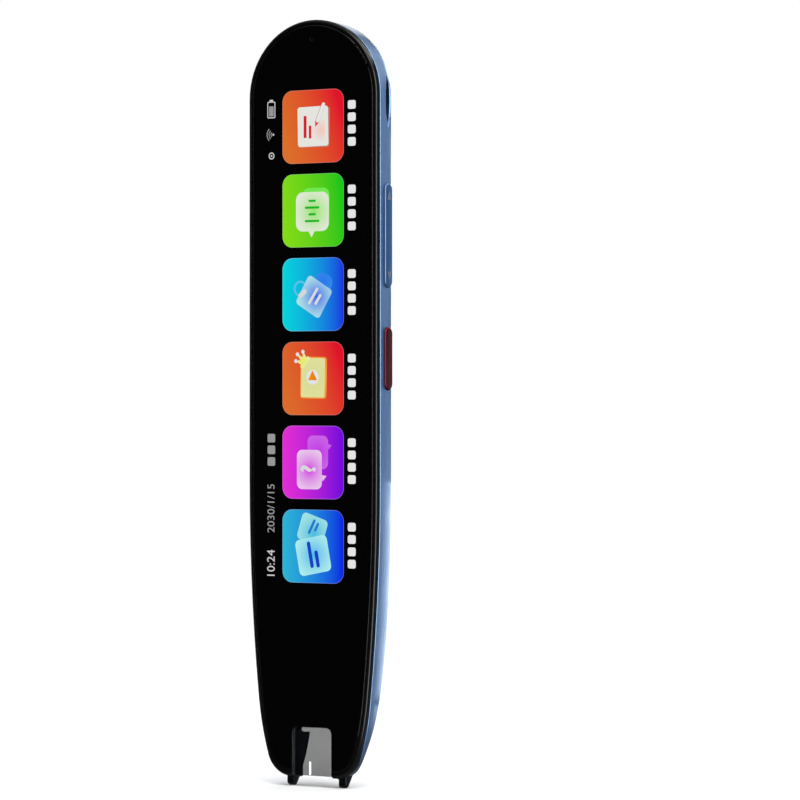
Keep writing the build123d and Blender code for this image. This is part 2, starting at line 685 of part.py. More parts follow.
def key_notch(centre, length):
    """The room that a side key and its ledge need in the frame's skirt."""
    half = length / 2 + KEY_FLANGE_STEP + 2 * KEY_CLEARANCE
    front = KEY_DEPTH - KEY_WIDTH / 2 - KEY_FLANGE_STEP - 2 * KEY_CLEARANCE
    inner = KEY_BACK - RED_KEY_TRAVEL - 2 * KEY_CLEARANCE
    return slab((inner, HALF_WIDTH + BEYOND), (centre - half, centre + half), (front, BOARD_FRONT))


def front_frame():
    """The black frame: a rim that shows, a skirt inside the shell and a tray for the display."""
    rim = plan(body_outline(), FRAME_FRONT, SHELL_FRONT)
    front_edges = rim.edges().group_by(Axis.Y)[0]
    rim = fillet(front_edges, FRAME_EDGE_RADIUS)
    skirt = plan(body_outline(SHELL_WALL + FIT_GAP), SHELL_FRONT, TRAY_BACK)
    frame = rim + (skirt & roof(SHELL_WALL + 2 * FIT_GAP))
    frame -= plan(body_outline(FRAME_RIM), -BEYOND, GLASS_BACK + GLUE_GAP)
    half = DISPLAY_WIDTH / 2 + FIT_GAP
    frame -= slab((-half, half), (DISPLAY_START - FIT_GAP, DISPLAY_END + FIT_GAP), (0, TRAY_FRONT))
    frame -= plan(window_outline(FIT_GAP, BEYOND), -BEYOND, TRAY_BACK + BEYOND)
    tip_room = ARCH_FOOT_HALF_WIDTH + KEY_CLEARANCE
    frame -= slab(
        (-tip_room, tip_room), (ARCH_FOOT_START, BODY_LENGTH + BEYOND), (SHELL_FRONT, TRAY_BACK + 1)
    )
    width, length, depth = MICROPHONE_SIZE
    seat = MICROPHONE_ALONG
    frame -= slab(
        (-width / 2 - FIT_GAP, width / 2 + FIT_GAP),
        (seat - length / 2 - FIT_GAP, seat + length / 2 + FIT_GAP),
        (0, GLASS_BACK + GLUE_GAP + depth),
    )
    flex_half = DISPLAY_FLEX_WIDTH / 2 + 2 * FIT_GAP
    frame -= slab(
        (-flex_half, flex_half),
        (DISPLAY_START - 2 * DISPLAY_FLEX_BEND, DISPLAY_START + DISPLAY_FLEX_LAP / 2),
        (DISPLAY_FRONT + DISPLAY_FLEX_BEND, TRAY_BACK + BEYOND),
    )
    frame -= key_notch(ROCKER_CENTRE, ROCKER_LENGTH)
    frame -= key_notch(RED_KEY_CENTRE, RED_KEY_LENGTH)
    for across, along in screw_places():
        frame += post(across, along, BOSS_RADIUS, TRAY_BACK, BOARD_FRONT)
        frame -= post(across, along, SCREW_RADIUS + SCREW_FIT, BOARD_FRONT - SCREW_LENGTH, BOARD_FRONT)
    foot_front = TRAY_BACK + FIT_GAP
    for across, along in bracket_screw_places():
        frame -= post(across, along, SCREW_RADIUS + SCREW_FIT, TRAY_FRONT, foot_front)
    return frame


def front_glass():
    """The black cover glass with its rounded edge, sound hole and notch for the window."""
    glass = plan(body_outline(FRAME_RIM + FIT_GAP), 0, GLASS_BACK)
    glass = fillet(glass.edges().group_by(Axis.Y)[0], GLASS_EDGE_RADIUS)
    glass -= plan(window_outline(FIT_GAP, BEYOND), -BEYOND, GLASS_BACK + BEYOND)
    glass -= post(0, MICROPHONE_ALONG, MICROPHONE_HOLE_RADIUS, -BEYOND, BEYOND)
    return glass


def scan_window():
    """The clear window between the cheeks."""
    return plan(window_outline(), 0, WINDOW_THICKNESS)


def display_panel():
    """The long bar display under the glass."""
    far = DISPLAY_FRONT + DISPLAY_THICKNESS
    length = DISPLAY_END - DISPLAY_START
    return tablet(
        DISPLAY_WIDTH, DISPLAY_START, length, DISPLAY_CORNER_RADIUS, DISPLAY_FRONT, far
    )


def microphone():
    """The microphone behind its hole in the glass."""
    width, length, depth = MICROPHONE_SIZE
    near = GLASS_BACK + GLUE_GAP / 2
    body = slab(
        (-width / 2, width / 2),
        (MICROPHONE_ALONG - length / 2, MICROPHONE_ALONG + length / 2),
        (near, near + depth),
    )
    return body - post(0, MICROPHONE_ALONG, MICROPHONE_HOLE_RADIUS, near, near + depth / 2)


# ---- speaker ----------------------------------------------------------------------------------
def speaker_trim():
    """The bright ring round the speaker plate."""
    outer = RectangleRounded(TRIM_WIDTH, TRIM_LENGTH, TRIM_CORNER_RADIUS)
    inner = RectangleRounded(
        TRIM_WIDTH - 2 * TRIM_RIM, TRIM_LENGTH - 2 * TRIM_RIM, TRIM_CORNER_RADIUS - TRIM_RIM
    )
    ring = plan(Pos(0, TRIM_CENTRE) * (outer - inner), POCKET_FLOOR, SPEAKER_TRIM_DEPTH)
    return chamfer(ring.edges().group_by(Axis.Y)[-1], TRIM_PROUD / 2)


def speaker_plate():
    """The black plate with its square grid of sound holes."""
    rim = TRIM_RIM + FIT_GAP
    outline = RectangleRounded(
        TRIM_WIDTH - 2 * rim, TRIM_LENGTH - 2 * rim, TRIM_CORNER_RADIUS - rim
    )
    holes = GridLocations(SOUND_PITCH_ACROSS, SOUND_PITCH_ALONG, SOUND_HOLES, SOUND_HOLES)
    grid = [Pos(0, SOUND_CENTRE) * place * Circle(SOUND_HOLE_RADIUS) for place in holes]
    face = Pos(0, TRIM_CENTRE) * outline - grid
    return plan(face, POCKET_FLOOR + MESH_THICKNESS, SPEAKER_TRIM_DEPTH - PLATE_SET_BACK)


def speaker_mesh():
    """The fine dust cloth under the plate's holes."""
    return sound_window(SOUND_WINDOW_MARGIN * 1.5, POCKET_FLOOR, POCKET_FLOOR + MESH_THICKNESS)


def speaker_gasket():
    """The foam ring that seals the speaker to the shell."""
    outer = Rectangle(SPEAKER_WIDTH, SPEAKER_LENGTH)
    inner = Rectangle(SPEAKER_WIDTH - 2 * GASKET_RIM, SPEAKER_LENGTH - 2 * GASKET_RIM)
    return plan(Pos(0, SOUND_CENTRE) * (outer - inner), SPEAKER_TOP, SPEAKER_TOP + GASKET_THICKNESS)


def speaker():
    """The boxed speaker, with the shallow cone of its diaphragm."""
    box = RectangleRounded(SPEAKER_WIDTH, SPEAKER_LENGTH, SPEAKER_CORNER_RADIUS)
    cone = RectangleRounded(
        SPEAKER_WIDTH - 2 * SPEAKER_CONE_MARGIN,
        SPEAKER_LENGTH - 2 * SPEAKER_CONE_MARGIN,
        SPEAKER_CORNER_RADIUS + SPEAKER_CONE_MARGIN / 2,
    )
    body = plan(Pos(0, SOUND_CENTRE) * box, SPEAKER_BACK, SPEAKER_TOP)
    return body - plan(Pos(0, SOUND_CENTRE) * cone, SPEAKER_TOP - SPEAKER_CONE_DEPTH, SPEAKER_TOP)


# ---- board, socket, battery -------------------------------------------------------------------
def main_board():
    """The main board, round at the tail end, with holes for its screws."""
    board = plan(body_outline(BOARD_MARGIN), BOARD_FRONT, BOARD_BACK)
    key_side = HALF_WIDTH - BOARD_KEY_MARGIN
    board &= slab((-HALF_WIDTH, key_side), (0, BOARD_END), (0, CROWN_DEPTH))
    for across, along in screw_places():
        board -= post(across, along, SCREW_RADIUS + SCREW_FIT, 0, CROWN_DEPTH)
    return board


def board_shield():
    """The sheet-metal can over the processor."""
    width, length, height = SHIELD_SIZE
    near = BOARD_FRONT - height
    return tablet(width, SHIELD_START, length, SHIELD_CORNER_RADIUS, near, BOARD_FRONT)


def board_chips():
    """Memory, radio and power chips on the front of the board."""
    chips = []
    shield_end = SHIELD_START + SHIELD_SIZE[1]
    for (width, length, height), (across, after) in zip(CHIP_SIZES, CHIP_PLACES):
        along = (shield_end + after, shield_end + after + length)
        depth = (BOARD_FRONT - height, BOARD_FRONT)
        chips.append(slab((across - width / 2, across + width / 2), along, depth))
    return Compound(children=chips)


def usb_socket():
    """The charging socket: a round-ended shell with its tongue, standing on the board."""
    near = USB_SET_BACK
    far = near + USB_LENGTH
    shell = usb_opening(0, near, far)
    shell -= usb_opening(-USB_WALL, near - BEYOND, far - 2 * USB_WALL)
    width, height = USB_TONGUE
    tongue_start = near + USB_TONGUE_SET_BACK
    tongue = cross(Pos(0, USB_DEPTH) * Rectangle(width, height), tongue_start, far - USB_WALL)
    return shell + tongue


def screw(across, along, seat, length):
    """A small pan-head screw whose head sits on the given depth and points back."""
    head = post(across, along, SCREW_HEAD_RADIUS, seat, seat + SCREW_HEAD_HEIGHT)
    shank = post(across, along, SCREW_RADIUS, seat - length, seat)
    socket = RegularPolygon(SCREW_SOCKET_RADIUS, 6)
    return head + shank - plan(
        Pos(across, along) * socket, seat + SCREW_HEAD_HEIGHT / 2, seat + BEYOND
    )


def board_screws():
    """The screws that hold the board to the frame's bosses."""
    length = BOARD_THICKNESS + SCREW_LENGTH - 2 * FIT_GAP
    return Compound(children=[screw(*place, BOARD_BACK, length) for place in screw_places()])


def battery_tape():
    """The adhesive sheet under the battery."""
    return tablet(
        BATTERY_WIDTH - 2 * TAPE_MARGIN,
        BATTERY_START + TAPE_MARGIN,
        BATTERY_END - BATTERY_START - 2 * TAPE_MARGIN,
        BATTERY_CORNER_RADIUS,
        TRAY_BACK,
        TRAY_BACK + TAPE_THICKNESS,
    )


def battery():
    """The pouch cell, with soft edges."""
    near = TRAY_BACK + TAPE_THICKNESS
    far = near + BATTERY_THICKNESS
    length = BATTERY_END - BATTERY_START
    cell = tablet(BATTERY_WIDTH, BATTERY_START, length, BATTERY_CORNER_RADIUS, near, far)
    return chamfer(cell.edges().group_by(Axis.Y)[-1], BATTERY_EDGE_CHAMFER)


def antenna():
    """The flat radio antenna on the inside of the plain side's wall."""
    thickness, length, height = ANTENNA_SIZE
    wall = -(HALF_WIDTH - SHELL_WALL)
    return slab(
        (wall + FIT_GAP, wall + FIT_GAP + thickness),
        (ANTENNA_START, ANTENNA_START + length),
        (KEY_DEPTH - height / 2, KEY_DEPTH + height / 2),
    )


def ribbon(points, width, radius):
    """A flat cable of the given width along a path of (along, depth)."""
    path = FilletPolyline(*points, radius=radius)
    return side(trace(path, line_width=FLEX_THICKNESS), -width / 2, width / 2)


def display_flex():
    """The display's flat cable: through the tray, round and on to the board."""
    under = TRAY_FRONT - FLEX_THICKNESS / 2 - FIT_GAP / 5
    board = BOARD_FRONT - FLEX_THICKNESS / 2
    turn = DISPLAY_START - DISPLAY_FLEX_BEND
    points = (
        (DISPLAY_START + DISPLAY_FLEX_LAP, under),
        (turn, under),
        (turn, board),
        (DISPLAY_START + DISPLAY_FLEX_BOARD_LAP, board),
    )
    return ribbon(points, DISPLAY_FLEX_WIDTH, FLEX_BEND_RADIUS)


def camera_flex():
    """The camera's flat cable: over the battery and down to the board."""
    level = TRAY_BACK + TAPE_THICKNESS + BATTERY_THICKNESS + FLEX_THICKNESS
    board = BOARD_BACK + FLEX_THICKNESS / 2
    points = (
        (BRACKET_START - FIT_GAP, level),
        (BOARD_END + CAMERA_FLEX_DROP, level),
        (BOARD_END - CAMERA_FLEX_LANDING, board),
        (BOARD_END - CAMERA_FLEX_BOARD_LAP, board),
    )
    return ribbon(points, CAMERA_FLEX_WIDTH, FLEX_BEND_RADIUS)


# ---- side keys --------------------------------------------------------------------------------
KEY_FACE = HALF_WIDTH + KEY_PROUD
SWITCH_BACK = KEY_BOARD_FRONT + KEY_BOARD_THICKNESS


def key_cap(start, length):
    """The pill-shaped cap of a side key, with a softened face."""
    outline = Pos(start + length / 2, KEY_DEPTH) * SlotOverall(length, KEY_WIDTH)
    cap = side(outline, KEY_BACK, KEY_FACE)
    return fillet(cap.edges().group_by(Axis.X)[-1], KEY_EDGE_RADIUS)


def key_flange(centre, length, gap):
    """The ledge that keeps a key in its slot."""
    inner_wall = HALF_WIDTH - SHELL_WALL
    outline = Pos(centre, KEY_DEPTH) * SlotOverall(length, KEY_WIDTH + 2 * KEY_FLANGE_STEP)
    return side(outline, KEY_BACK, inner_wall - gap)


def volume_rocker():
    """The long volume key, which rocks on a rib behind its middle."""
    key = key_cap(ROCKER_START, ROCKER_LENGTH)
    return key + key_flange(ROCKER_CENTRE, ROCKER_FLANGE_LENGTH, ROCKER_FLANGE_GAP)


def red_key():
    """The red key, with its ledge all round."""
    key = key_cap(RED_KEY_START, RED_KEY_LENGTH)
    flange = RED_KEY_LENGTH + 2 * KEY_FLANGE_STEP
    return key + key_flange(RED_KEY_CENTRE, flange, RED_KEY_FLANGE_GAP)


def switch_places():
    """Where the three key switches sit along, and how far their key's back comes in there."""
    reach = ROCKER_LENGTH / 2 - ROCKER_SWITCH_INSET
    dip = reach * math.sin(math.radians(ROCKER_ANGLE))
    return (
        (ROCKER_CENTRE - reach, dip),
        (ROCKER_CENTRE + reach, dip),
        (RED_KEY_CENTRE, RED_KEY_TRAVEL),
    )


def key_switches():
    """Three small push switches with round plungers."""
    thickness, length, height = SWITCH_SIZE
    switches = []
    for along, travel in switch_places():
        tip = KEY_BACK - travel - SWITCH_GAP
        body = slab(
            (SWITCH_BACK, SWITCH_BACK + thickness),
            (along - length / 2, along + length / 2),
            (KEY_DEPTH - height / 2, KEY_DEPTH + height / 2),
        )
        plunger = side(Pos(along, KEY_DEPTH) * Circle(SWITCH_PLUNGER_RADIUS), SWITCH_BACK, tip)
        switches.append(body + plunger)
    return Compound(children=switches)


def key_board():
    """The narrow board behind the keys, with a hole for the rocker's rib."""
    board = slab(
        (KEY_BOARD_FRONT, SWITCH_BACK),
        (KEY_BOARD_START, KEY_BOARD_END),
        (KEY_DEPTH - KEY_BOARD_HEIGHT / 2, KEY_DEPTH + KEY_BOARD_HEIGHT / 2),
    )
    length, height = KEY_RIB
    hole = Rectangle(length + 2 * KEY_RIB_GAP, height + 2 * KEY_RIB_GAP)
    hole = Pos(ROCKER_CENTRE, KEY_DEPTH) * hole
    return board - side(hole, KEY_BOARD_FRONT - BEYOND, SWITCH_BACK + BEYOND)


def key_bracket():
    """The bracket that holds the key board up behind the keys and carries the rocker's rib."""
    top = KEY_DEPTH + KEY_BOARD_HEIGHT / 2
    wall = KEY_BOARD_FRONT - KEY_BRACKET_WALL
    bracket = slab((wall, KEY_BOARD_FRONT), (KEY_BOARD_START, KEY_BOARD_END), (TRAY_BACK, top))
    for along in (KEY_BOARD_START, KEY_BOARD_END - KEY_BRACKET_FOOT):
        foot = (along, along + KEY_BRACKET_FOOT)
        bracket += slab((KEY_BRACKET_INNER, KEY_BOARD_FRONT), foot, (TRAY_BACK, top))
    rib = Pos(ROCKER_CENTRE, KEY_DEPTH) * Rectangle(*KEY_RIB)
    return bracket + side(rib, KEY_BOARD_FRONT, KEY_BACK - FIT_GAP)


# ---- scanning tip -----------------------------------------------------------------------------
def slope_ends():
    """The upper and lower end of the dark cover's slope, along and depth."""
    return [(ARCH_START + along, depth) for along, depth in (SLOPE_TOP, SLOPE_FOOT)]


def scan_hood():
    """The black liner of the arch, with a slope that carries the dark cover."""
    outline = arch_outline(HOOD_GAP, ARCH_FOOT_START - TIP_TRAVEL / 4, foot=False)
    hood = plan(outline, HOOD_FRONT, CROWN_DEPTH + BEYOND)
    hood &= body_form(HOOD_SET_BACK, SHELL_FRONT)
    (s0, d0), (s1, d1) = slope_ends()
    lean = (d0 - d1) / (s1 - s0)
    above = Polygon(
        (s0, d0),
        (s0, d0 + BEYOND * 2),
        (s1 + BEYOND * 2, d0 + BEYOND * 2),
        (s1 + BEYOND * 2, HOOD_FRONT - BEYOND),
        (s1 + (d1 - HOOD_FRONT + BEYOND) / lean, HOOD_FRONT - BEYOND),
        align=None,
    )
    inner = ARCH_HALF_WIDTH - HOOD_GAP - HOOD_WALL
    hood -= side(above, -inner, inner)
    half = LED_ACROSS + LED_SIZE[0] / 2 + TUNNEL_MARGIN
    tunnel = Pos(0, CAMERA_DEPTH) * SlotOverall(2 * half, 2 * CAMERA_RADIUS)
    hood -= cross(tunnel, ARCH_START - BEYOND, BODY_LENGTH)
    return hood - cover_slab(inner, 0.0)


def cover_slab(half, gap):
    """The dark cover's place on the hood's slope, less a gap all round."""
    (s0, d0), (s1, d1) = slope_ends()
    run, drop = s1 - s0, d0 - d1
    length = math.hypot(run, drop)
    normal = (drop / length, run / length)
    step = (run / length, -drop / length)
    start = COVER_MARGIN + gap
    stop = length - COVER_MARGIN - gap
    back = -COVER_THICKNESS + gap

    def at(distance, height):
        return (
            s0 + step[0] * distance + normal[0] * height,
            d0 + step[1] * distance + normal[1] * height,
        )

    face = Polygon(at(start, 0), at(stop, 0), at(stop, back), at(start, back), align=None)
    return side(face, -half + gap, half - gap)


def lens_cover():
    """The dark cover in front of the camera and its lamps."""
    return cover_slab(ARCH_HALF_WIDTH - HOOD_GAP - HOOD_WALL, FIT_GAP)


def cheek_profile():
    """One cheek in side view: straight front, round nose, and a back that follows the shell."""
    nose = (OVERALL_LENGTH - CHEEK_NOSE_RADIUS, CHEEK_FRONT + CHEEK_NOSE_RADIUS)
    around = []
    for angle in map(math.radians, CHEEK_NOSE_ANGLES):
        step = (CHEEK_NOSE_RADIUS * math.cos(angle), CHEEK_NOSE_RADIUS * math.sin(angle))
        around.append((nose[0] + step[0], nose[1] + step[1]))
    front = (CHEEK_TOP, CHEEK_FRONT)
    foot = (nose[0], CHEEK_FRONT)
    back = (OVERALL_LENGTH - CHEEK_MID[0], CHEEK_MID[1])
    corner = (CHEEK_TOP + CHEEK_TOP_SLOPE, CHEEK_TOP_DEPTH)
    return make_face(
        [
            Line(front, foot),
            ThreePointArc(foot, *around),
            ThreePointArc(around[-1], back, corner),
            Line(corner, front),
        ]
    )


def cheek_ledge():
    """The ledge on a cheek's inner side, in side view."""
    length, height = CHEEK_FLANGE_END - CHEEK_TOP, CHEEK_FLANGE_DEPTH - CHEEK_FRONT
    centre = (CHEEK_TOP + length / 2, CHEEK_FRONT + height / 2)
    return Pos(*centre) * RectangleRounded(length, height, CHEEK_FLANGE_RADIUS)


def scan_tip():
    """The moving tip: two cheeks, the arms beside the hood and the bridge across their ends."""
    outer = CHEEK_INNER + CHEEK_THICKNESS
    tip = slab((-outer, outer), (BRIDGE_START, BRIDGE_START + BRIDGE_LENGTH), ARM_DEPTHS)
    for sign, last in ((-1, 0), (1, -1)):
        cheek = side(cheek_profile(), *sorted((sign * CHEEK_INNER, sign * outer)))
        rim = cheek.edges().filter_by(Axis.Z, reverse=True).group_by(Axis.X)[last]
        tip += fillet(rim, CHEEK_EDGE_RADIUS)
        ledge = sorted((sign * (CHEEK_INNER - CHEEK_FLANGE), sign * CHEEK_INNER))
        tip += side(cheek_ledge(), *ledge)
        arm = sorted((sign * (outer - ARM_THICKNESS), sign * outer))
        tip += slab(arm, (BRIDGE_START, CHEEK_TOP + CHEEK_THICKNESS), ARM_DEPTHS)
    return tip


def scan_bracket():
    """The bracket behind the tip: seat of the springs, switch and camera, with two screwed feet."""
    half = BRACKET_HALF_WIDTH
    end = BRACKET_START + BRACKET_THICKNESS
    wall = slab((-half, half), (BRACKET_START, end), (TRAY_BACK + FIT_GAP, CROWN_DEPTH))
    wall &= body_form(SHELL_WALL + 2 * KEY_CLEARANCE, 0)
    foot_back = TRAY_BACK + FIT_GAP + BRACKET_FOOT_THICKNESS
    foot_start = BRACKET_START - BRACKET_FOOT_LENGTH
    for across, along in bracket_screw_places():
        low, high = across - BOSS_RADIUS, across + BOSS_RADIUS
        wall += slab((low, high), (foot_start, BRACKET_START), (TRAY_BACK + FIT_GAP, foot_back))
        wall -= post(across, along, SCREW_RADIUS + SCREW_FIT, 0, CROWN_DEPTH)
    return wall


def bracket_screws():
    """The two screws of the scan bracket."""
    seat = TRAY_BACK + FIT_GAP + BRACKET_FOOT_THICKNESS
    length = seat - TRAY_FRONT - FIT_GAP
    return Compound(children=[screw(*place, seat, length) for place in bracket_screw_places()])


SPRING_START = BRACKET_START + BRACKET_THICKNESS
SPRING_DEPTH = sum(ARM_DEPTHS) / 2


def tip_springs():
    """The two coil springs that push the tip out."""
    length = BRIDGE_START - SPRING_START
    rise = length - SPRING_WIRE - 2 * FIT_GAP
    springs = []
    for across in (-SPRING_ACROSS, SPRING_ACROSS):
        coil = Helix(rise / SPRING_TURNS, rise, SPRING_RADIUS)
        wire = Plane(origin=coil @ 0, x_dir=(0, 0, 1), z_dir=coil % 0)
        spring = sweep(wire * Rectangle(SPRING_WIRE, SPRING_WIRE), path=coil, is_frenet=True)
        base = spot(across, BRIDGE_START - FIT_GAP - SPRING_WIRE / 2, SPRING_DEPTH)
        springs.append(Pos(*base) * spring)
    return Compound(children=springs)


def tip_switch():
    """The switch that the tip presses."""
    width, length, height = TIP_SWITCH_SIZE
    start = SPRING_START
    low = TRAY_BACK + KEY_CLEARANCE
    body = slab((-width / 2, width / 2), (start, start + length), (low, low + height))
    tip = BRIDGE_START - TIP_TRAVEL - TIP_SWITCH_GAP
    return body + rod(0, low + height / 2, SWITCH_PLUNGER_RADIUS * 0.8, start, tip)


def camera_module():
    """The scanning camera: a small board, a square base and a round barrel."""
    start = SPRING_START
    board_end = start + CAMERA_BOARD_THICKNESS
    half = CAMERA_BASE / 2
    square = Pos(0, CAMERA_DEPTH) * Rectangle(CAMERA_BASE, CAMERA_BASE)
    camera = cross(square, start, board_end + CAMERA_BASE_LENGTH - CAMERA_BOARD_THICKNESS)
    nose = ARCH_START + HOOD_WALL / 2
    camera += rod(0, CAMERA_DEPTH, CAMERA_RADIUS - KEY_CLEARANCE, start + half / 2, nose)
    return camera - rod(0, CAMERA_DEPTH, CAMERA_PUPIL_RADIUS, nose - 0.5, nose + BEYOND)


def led_board():
    """The lamp board round the camera's barrel."""
    end = ARCH_START
    start = end - LED_BOARD_THICKNESS
    half = LED_ACROSS + LED_SIZE[0]
    board = Pos(0, CAMERA_DEPTH) * Rectangle(2 * half, LED_BOARD_HEIGHT)
    plate = cross(board, start, end)
    return plate - rod(0, CAMERA_DEPTH, CAMERA_RADIUS, start - BEYOND, end + BEYOND)


def scan_lamps():
    """The two lamps that light the page."""
    width, length, height = LED_SIZE
    lamps = []
    for across in (-LED_ACROSS, LED_ACROSS):
        lamps.append(
            slab(
                (across - width / 2, across + width / 2),
                (ARCH_START, ARCH_START + length),
                (CAMERA_DEPTH - height / 2, CAMERA_DEPTH + height / 2),
            )
        )
    return Compound(children=lamps)


NODES = {
    "rear_shell": rear_shell,
    "front_frame": front_frame,
    "front_glass": front_glass,
    "scan_window": scan_window,
    "display_panel": display_panel,
    "microphone": microphone,
    "speaker_trim": speaker_trim,
    "speaker_plate": speaker_plate,
    "speaker_mesh": speaker_mesh,
    "speaker_gasket": speaker_gasket,
    "speaker": speaker,
    "main_board": main_board,
    "board_shield": board_shield,
    "board_chips": board_chips,
    "usb_socket": usb_socket,
    "board_screws": board_screws,
    "battery_tape": battery_tape,
    "battery": battery,
    "antenna": antenna,
    "display_flex": display_flex,
    "camera_flex": camera_flex,
    "volume_rocker": volume_rocker,
    "red_key": red_key,
    "key_switches": key_switches,
    "key_board": key_board,
    "key_bracket": key_bracket,
    "scan_hood": scan_hood,
    "lens_cover": lens_cover,
    "scan_tip": scan_tip,
    "scan_bracket": scan_bracket,
    "bracket_screws": bracket_screws,
    "tip_springs": tip_springs,
    "tip_switch": tip_switch,
    "camera_module": camera_module,
    "led_board": led_board,
    "scan_lamps": scan_lamps,
}

if __name__ == "__main__":
    for name, make in NODES.items():
        export_step(make(), f"parts/{name}.step")
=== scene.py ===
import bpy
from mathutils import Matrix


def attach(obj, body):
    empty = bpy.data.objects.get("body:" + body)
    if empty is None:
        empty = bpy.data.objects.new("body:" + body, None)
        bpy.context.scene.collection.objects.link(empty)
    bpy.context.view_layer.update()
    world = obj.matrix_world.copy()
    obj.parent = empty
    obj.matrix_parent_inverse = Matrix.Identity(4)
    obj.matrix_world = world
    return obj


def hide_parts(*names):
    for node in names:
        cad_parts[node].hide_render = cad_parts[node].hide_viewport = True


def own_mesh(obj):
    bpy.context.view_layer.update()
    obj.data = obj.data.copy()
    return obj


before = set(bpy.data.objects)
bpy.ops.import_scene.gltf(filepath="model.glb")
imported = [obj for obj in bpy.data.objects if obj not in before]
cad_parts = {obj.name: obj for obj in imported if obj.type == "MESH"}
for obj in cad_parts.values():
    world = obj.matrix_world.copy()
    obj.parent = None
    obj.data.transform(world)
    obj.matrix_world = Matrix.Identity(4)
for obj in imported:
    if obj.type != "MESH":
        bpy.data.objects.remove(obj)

"""Looks of a handheld scanning translator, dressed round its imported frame.

Places on the pen are given as across (from the centre line, keys on the plus side), along (from
the tail end towards the scanning tip) and depth (from the front glass back), in millimetres.
"""

import logging
import math
from collections.abc import Callable, Iterator, Mapping, Sequence
from contextlib import contextmanager
from dataclasses import dataclass, field
from enum import Enum

import bmesh
import bpy
from mathutils import Matrix, Vector
from mathutils.bvhtree import BVHTree

LOG = logging.getLogger("translator")
MM = 0.001
HALF_LENGTH = 80.0
HALF_THICKNESS = 6.75
Colour = tuple[float, float, float, float]
Triple = tuple[float, float, float]
Pair = tuple[float, float]
Socket = bpy.types.NodeSocket
Value = Socket | float | Sequence[float]
MeshPart = bmesh.types.BMVert | bmesh.types.BMEdge | bmesh.types.BMFace


def spot(across: float, along: float, depth: float) -> Vector:
    """Turn a place on the pen into a point of the frame.

    Args:
        across: Millimetres from the centre line, keys on the plus side.
        along: Millimetres from the tail end towards the tip.
        depth: Millimetres from the front glass towards the back.

    Returns:
        The point in metres.
    """
    return Vector((across, depth - HALF_THICKNESS, HALF_LENGTH - along)) * MM


def srgb(red: float, green: float, blue: float) -> Colour:
    """Turn a display colour from 0 to 255 into the linear colour that shaders read.

    Args:
        red: Display red.
        green: Display green.
        blue: Display blue.

    Returns:
        Red, green, blue and a full alpha.
    """
    def linear(value: float) -> float:
        """One channel from 0 to 1."""
        share = value / 255
        return share / 12.92 if share <= 0.04045 else ((share + 0.055) / 1.055) ** 2.4
    return linear(red), linear(green), linear(blue), 1.0


# ---- the bench: operators used as by hand ---------------------------------------------------
class Facing(Enum):
    """Which way a flat piece looks: its right, its up and its outward direction."""

    FRONT = (Vector((1, 0, 0)), Vector((0, 0, 1)), Vector((0, -1, 0)))
    BACK = (Vector((-1, 0, 0)), Vector((0, 0, 1)), Vector((0, 1, 0)))
    KEYS = (Vector((0, 1, 0)), Vector((0, 0, 1)), Vector((1, 0, 0)))

    def place(self, centre: Vector, turn: float = 0.0) -> Matrix:
        """The matrix that lays a flat piece at a point, turned by degrees.

        Args:
            centre: Where the piece's own origin goes.
            turn: Degrees about the outward direction.

        Returns:
            The matrix.
        """
        right, up, out = self.value
        lay = Matrix((right, up, out)).transposed().to_4x4()
        return Matrix.Translation(centre) @ lay @ Matrix.Rotation(math.radians(turn), 4, "Z")


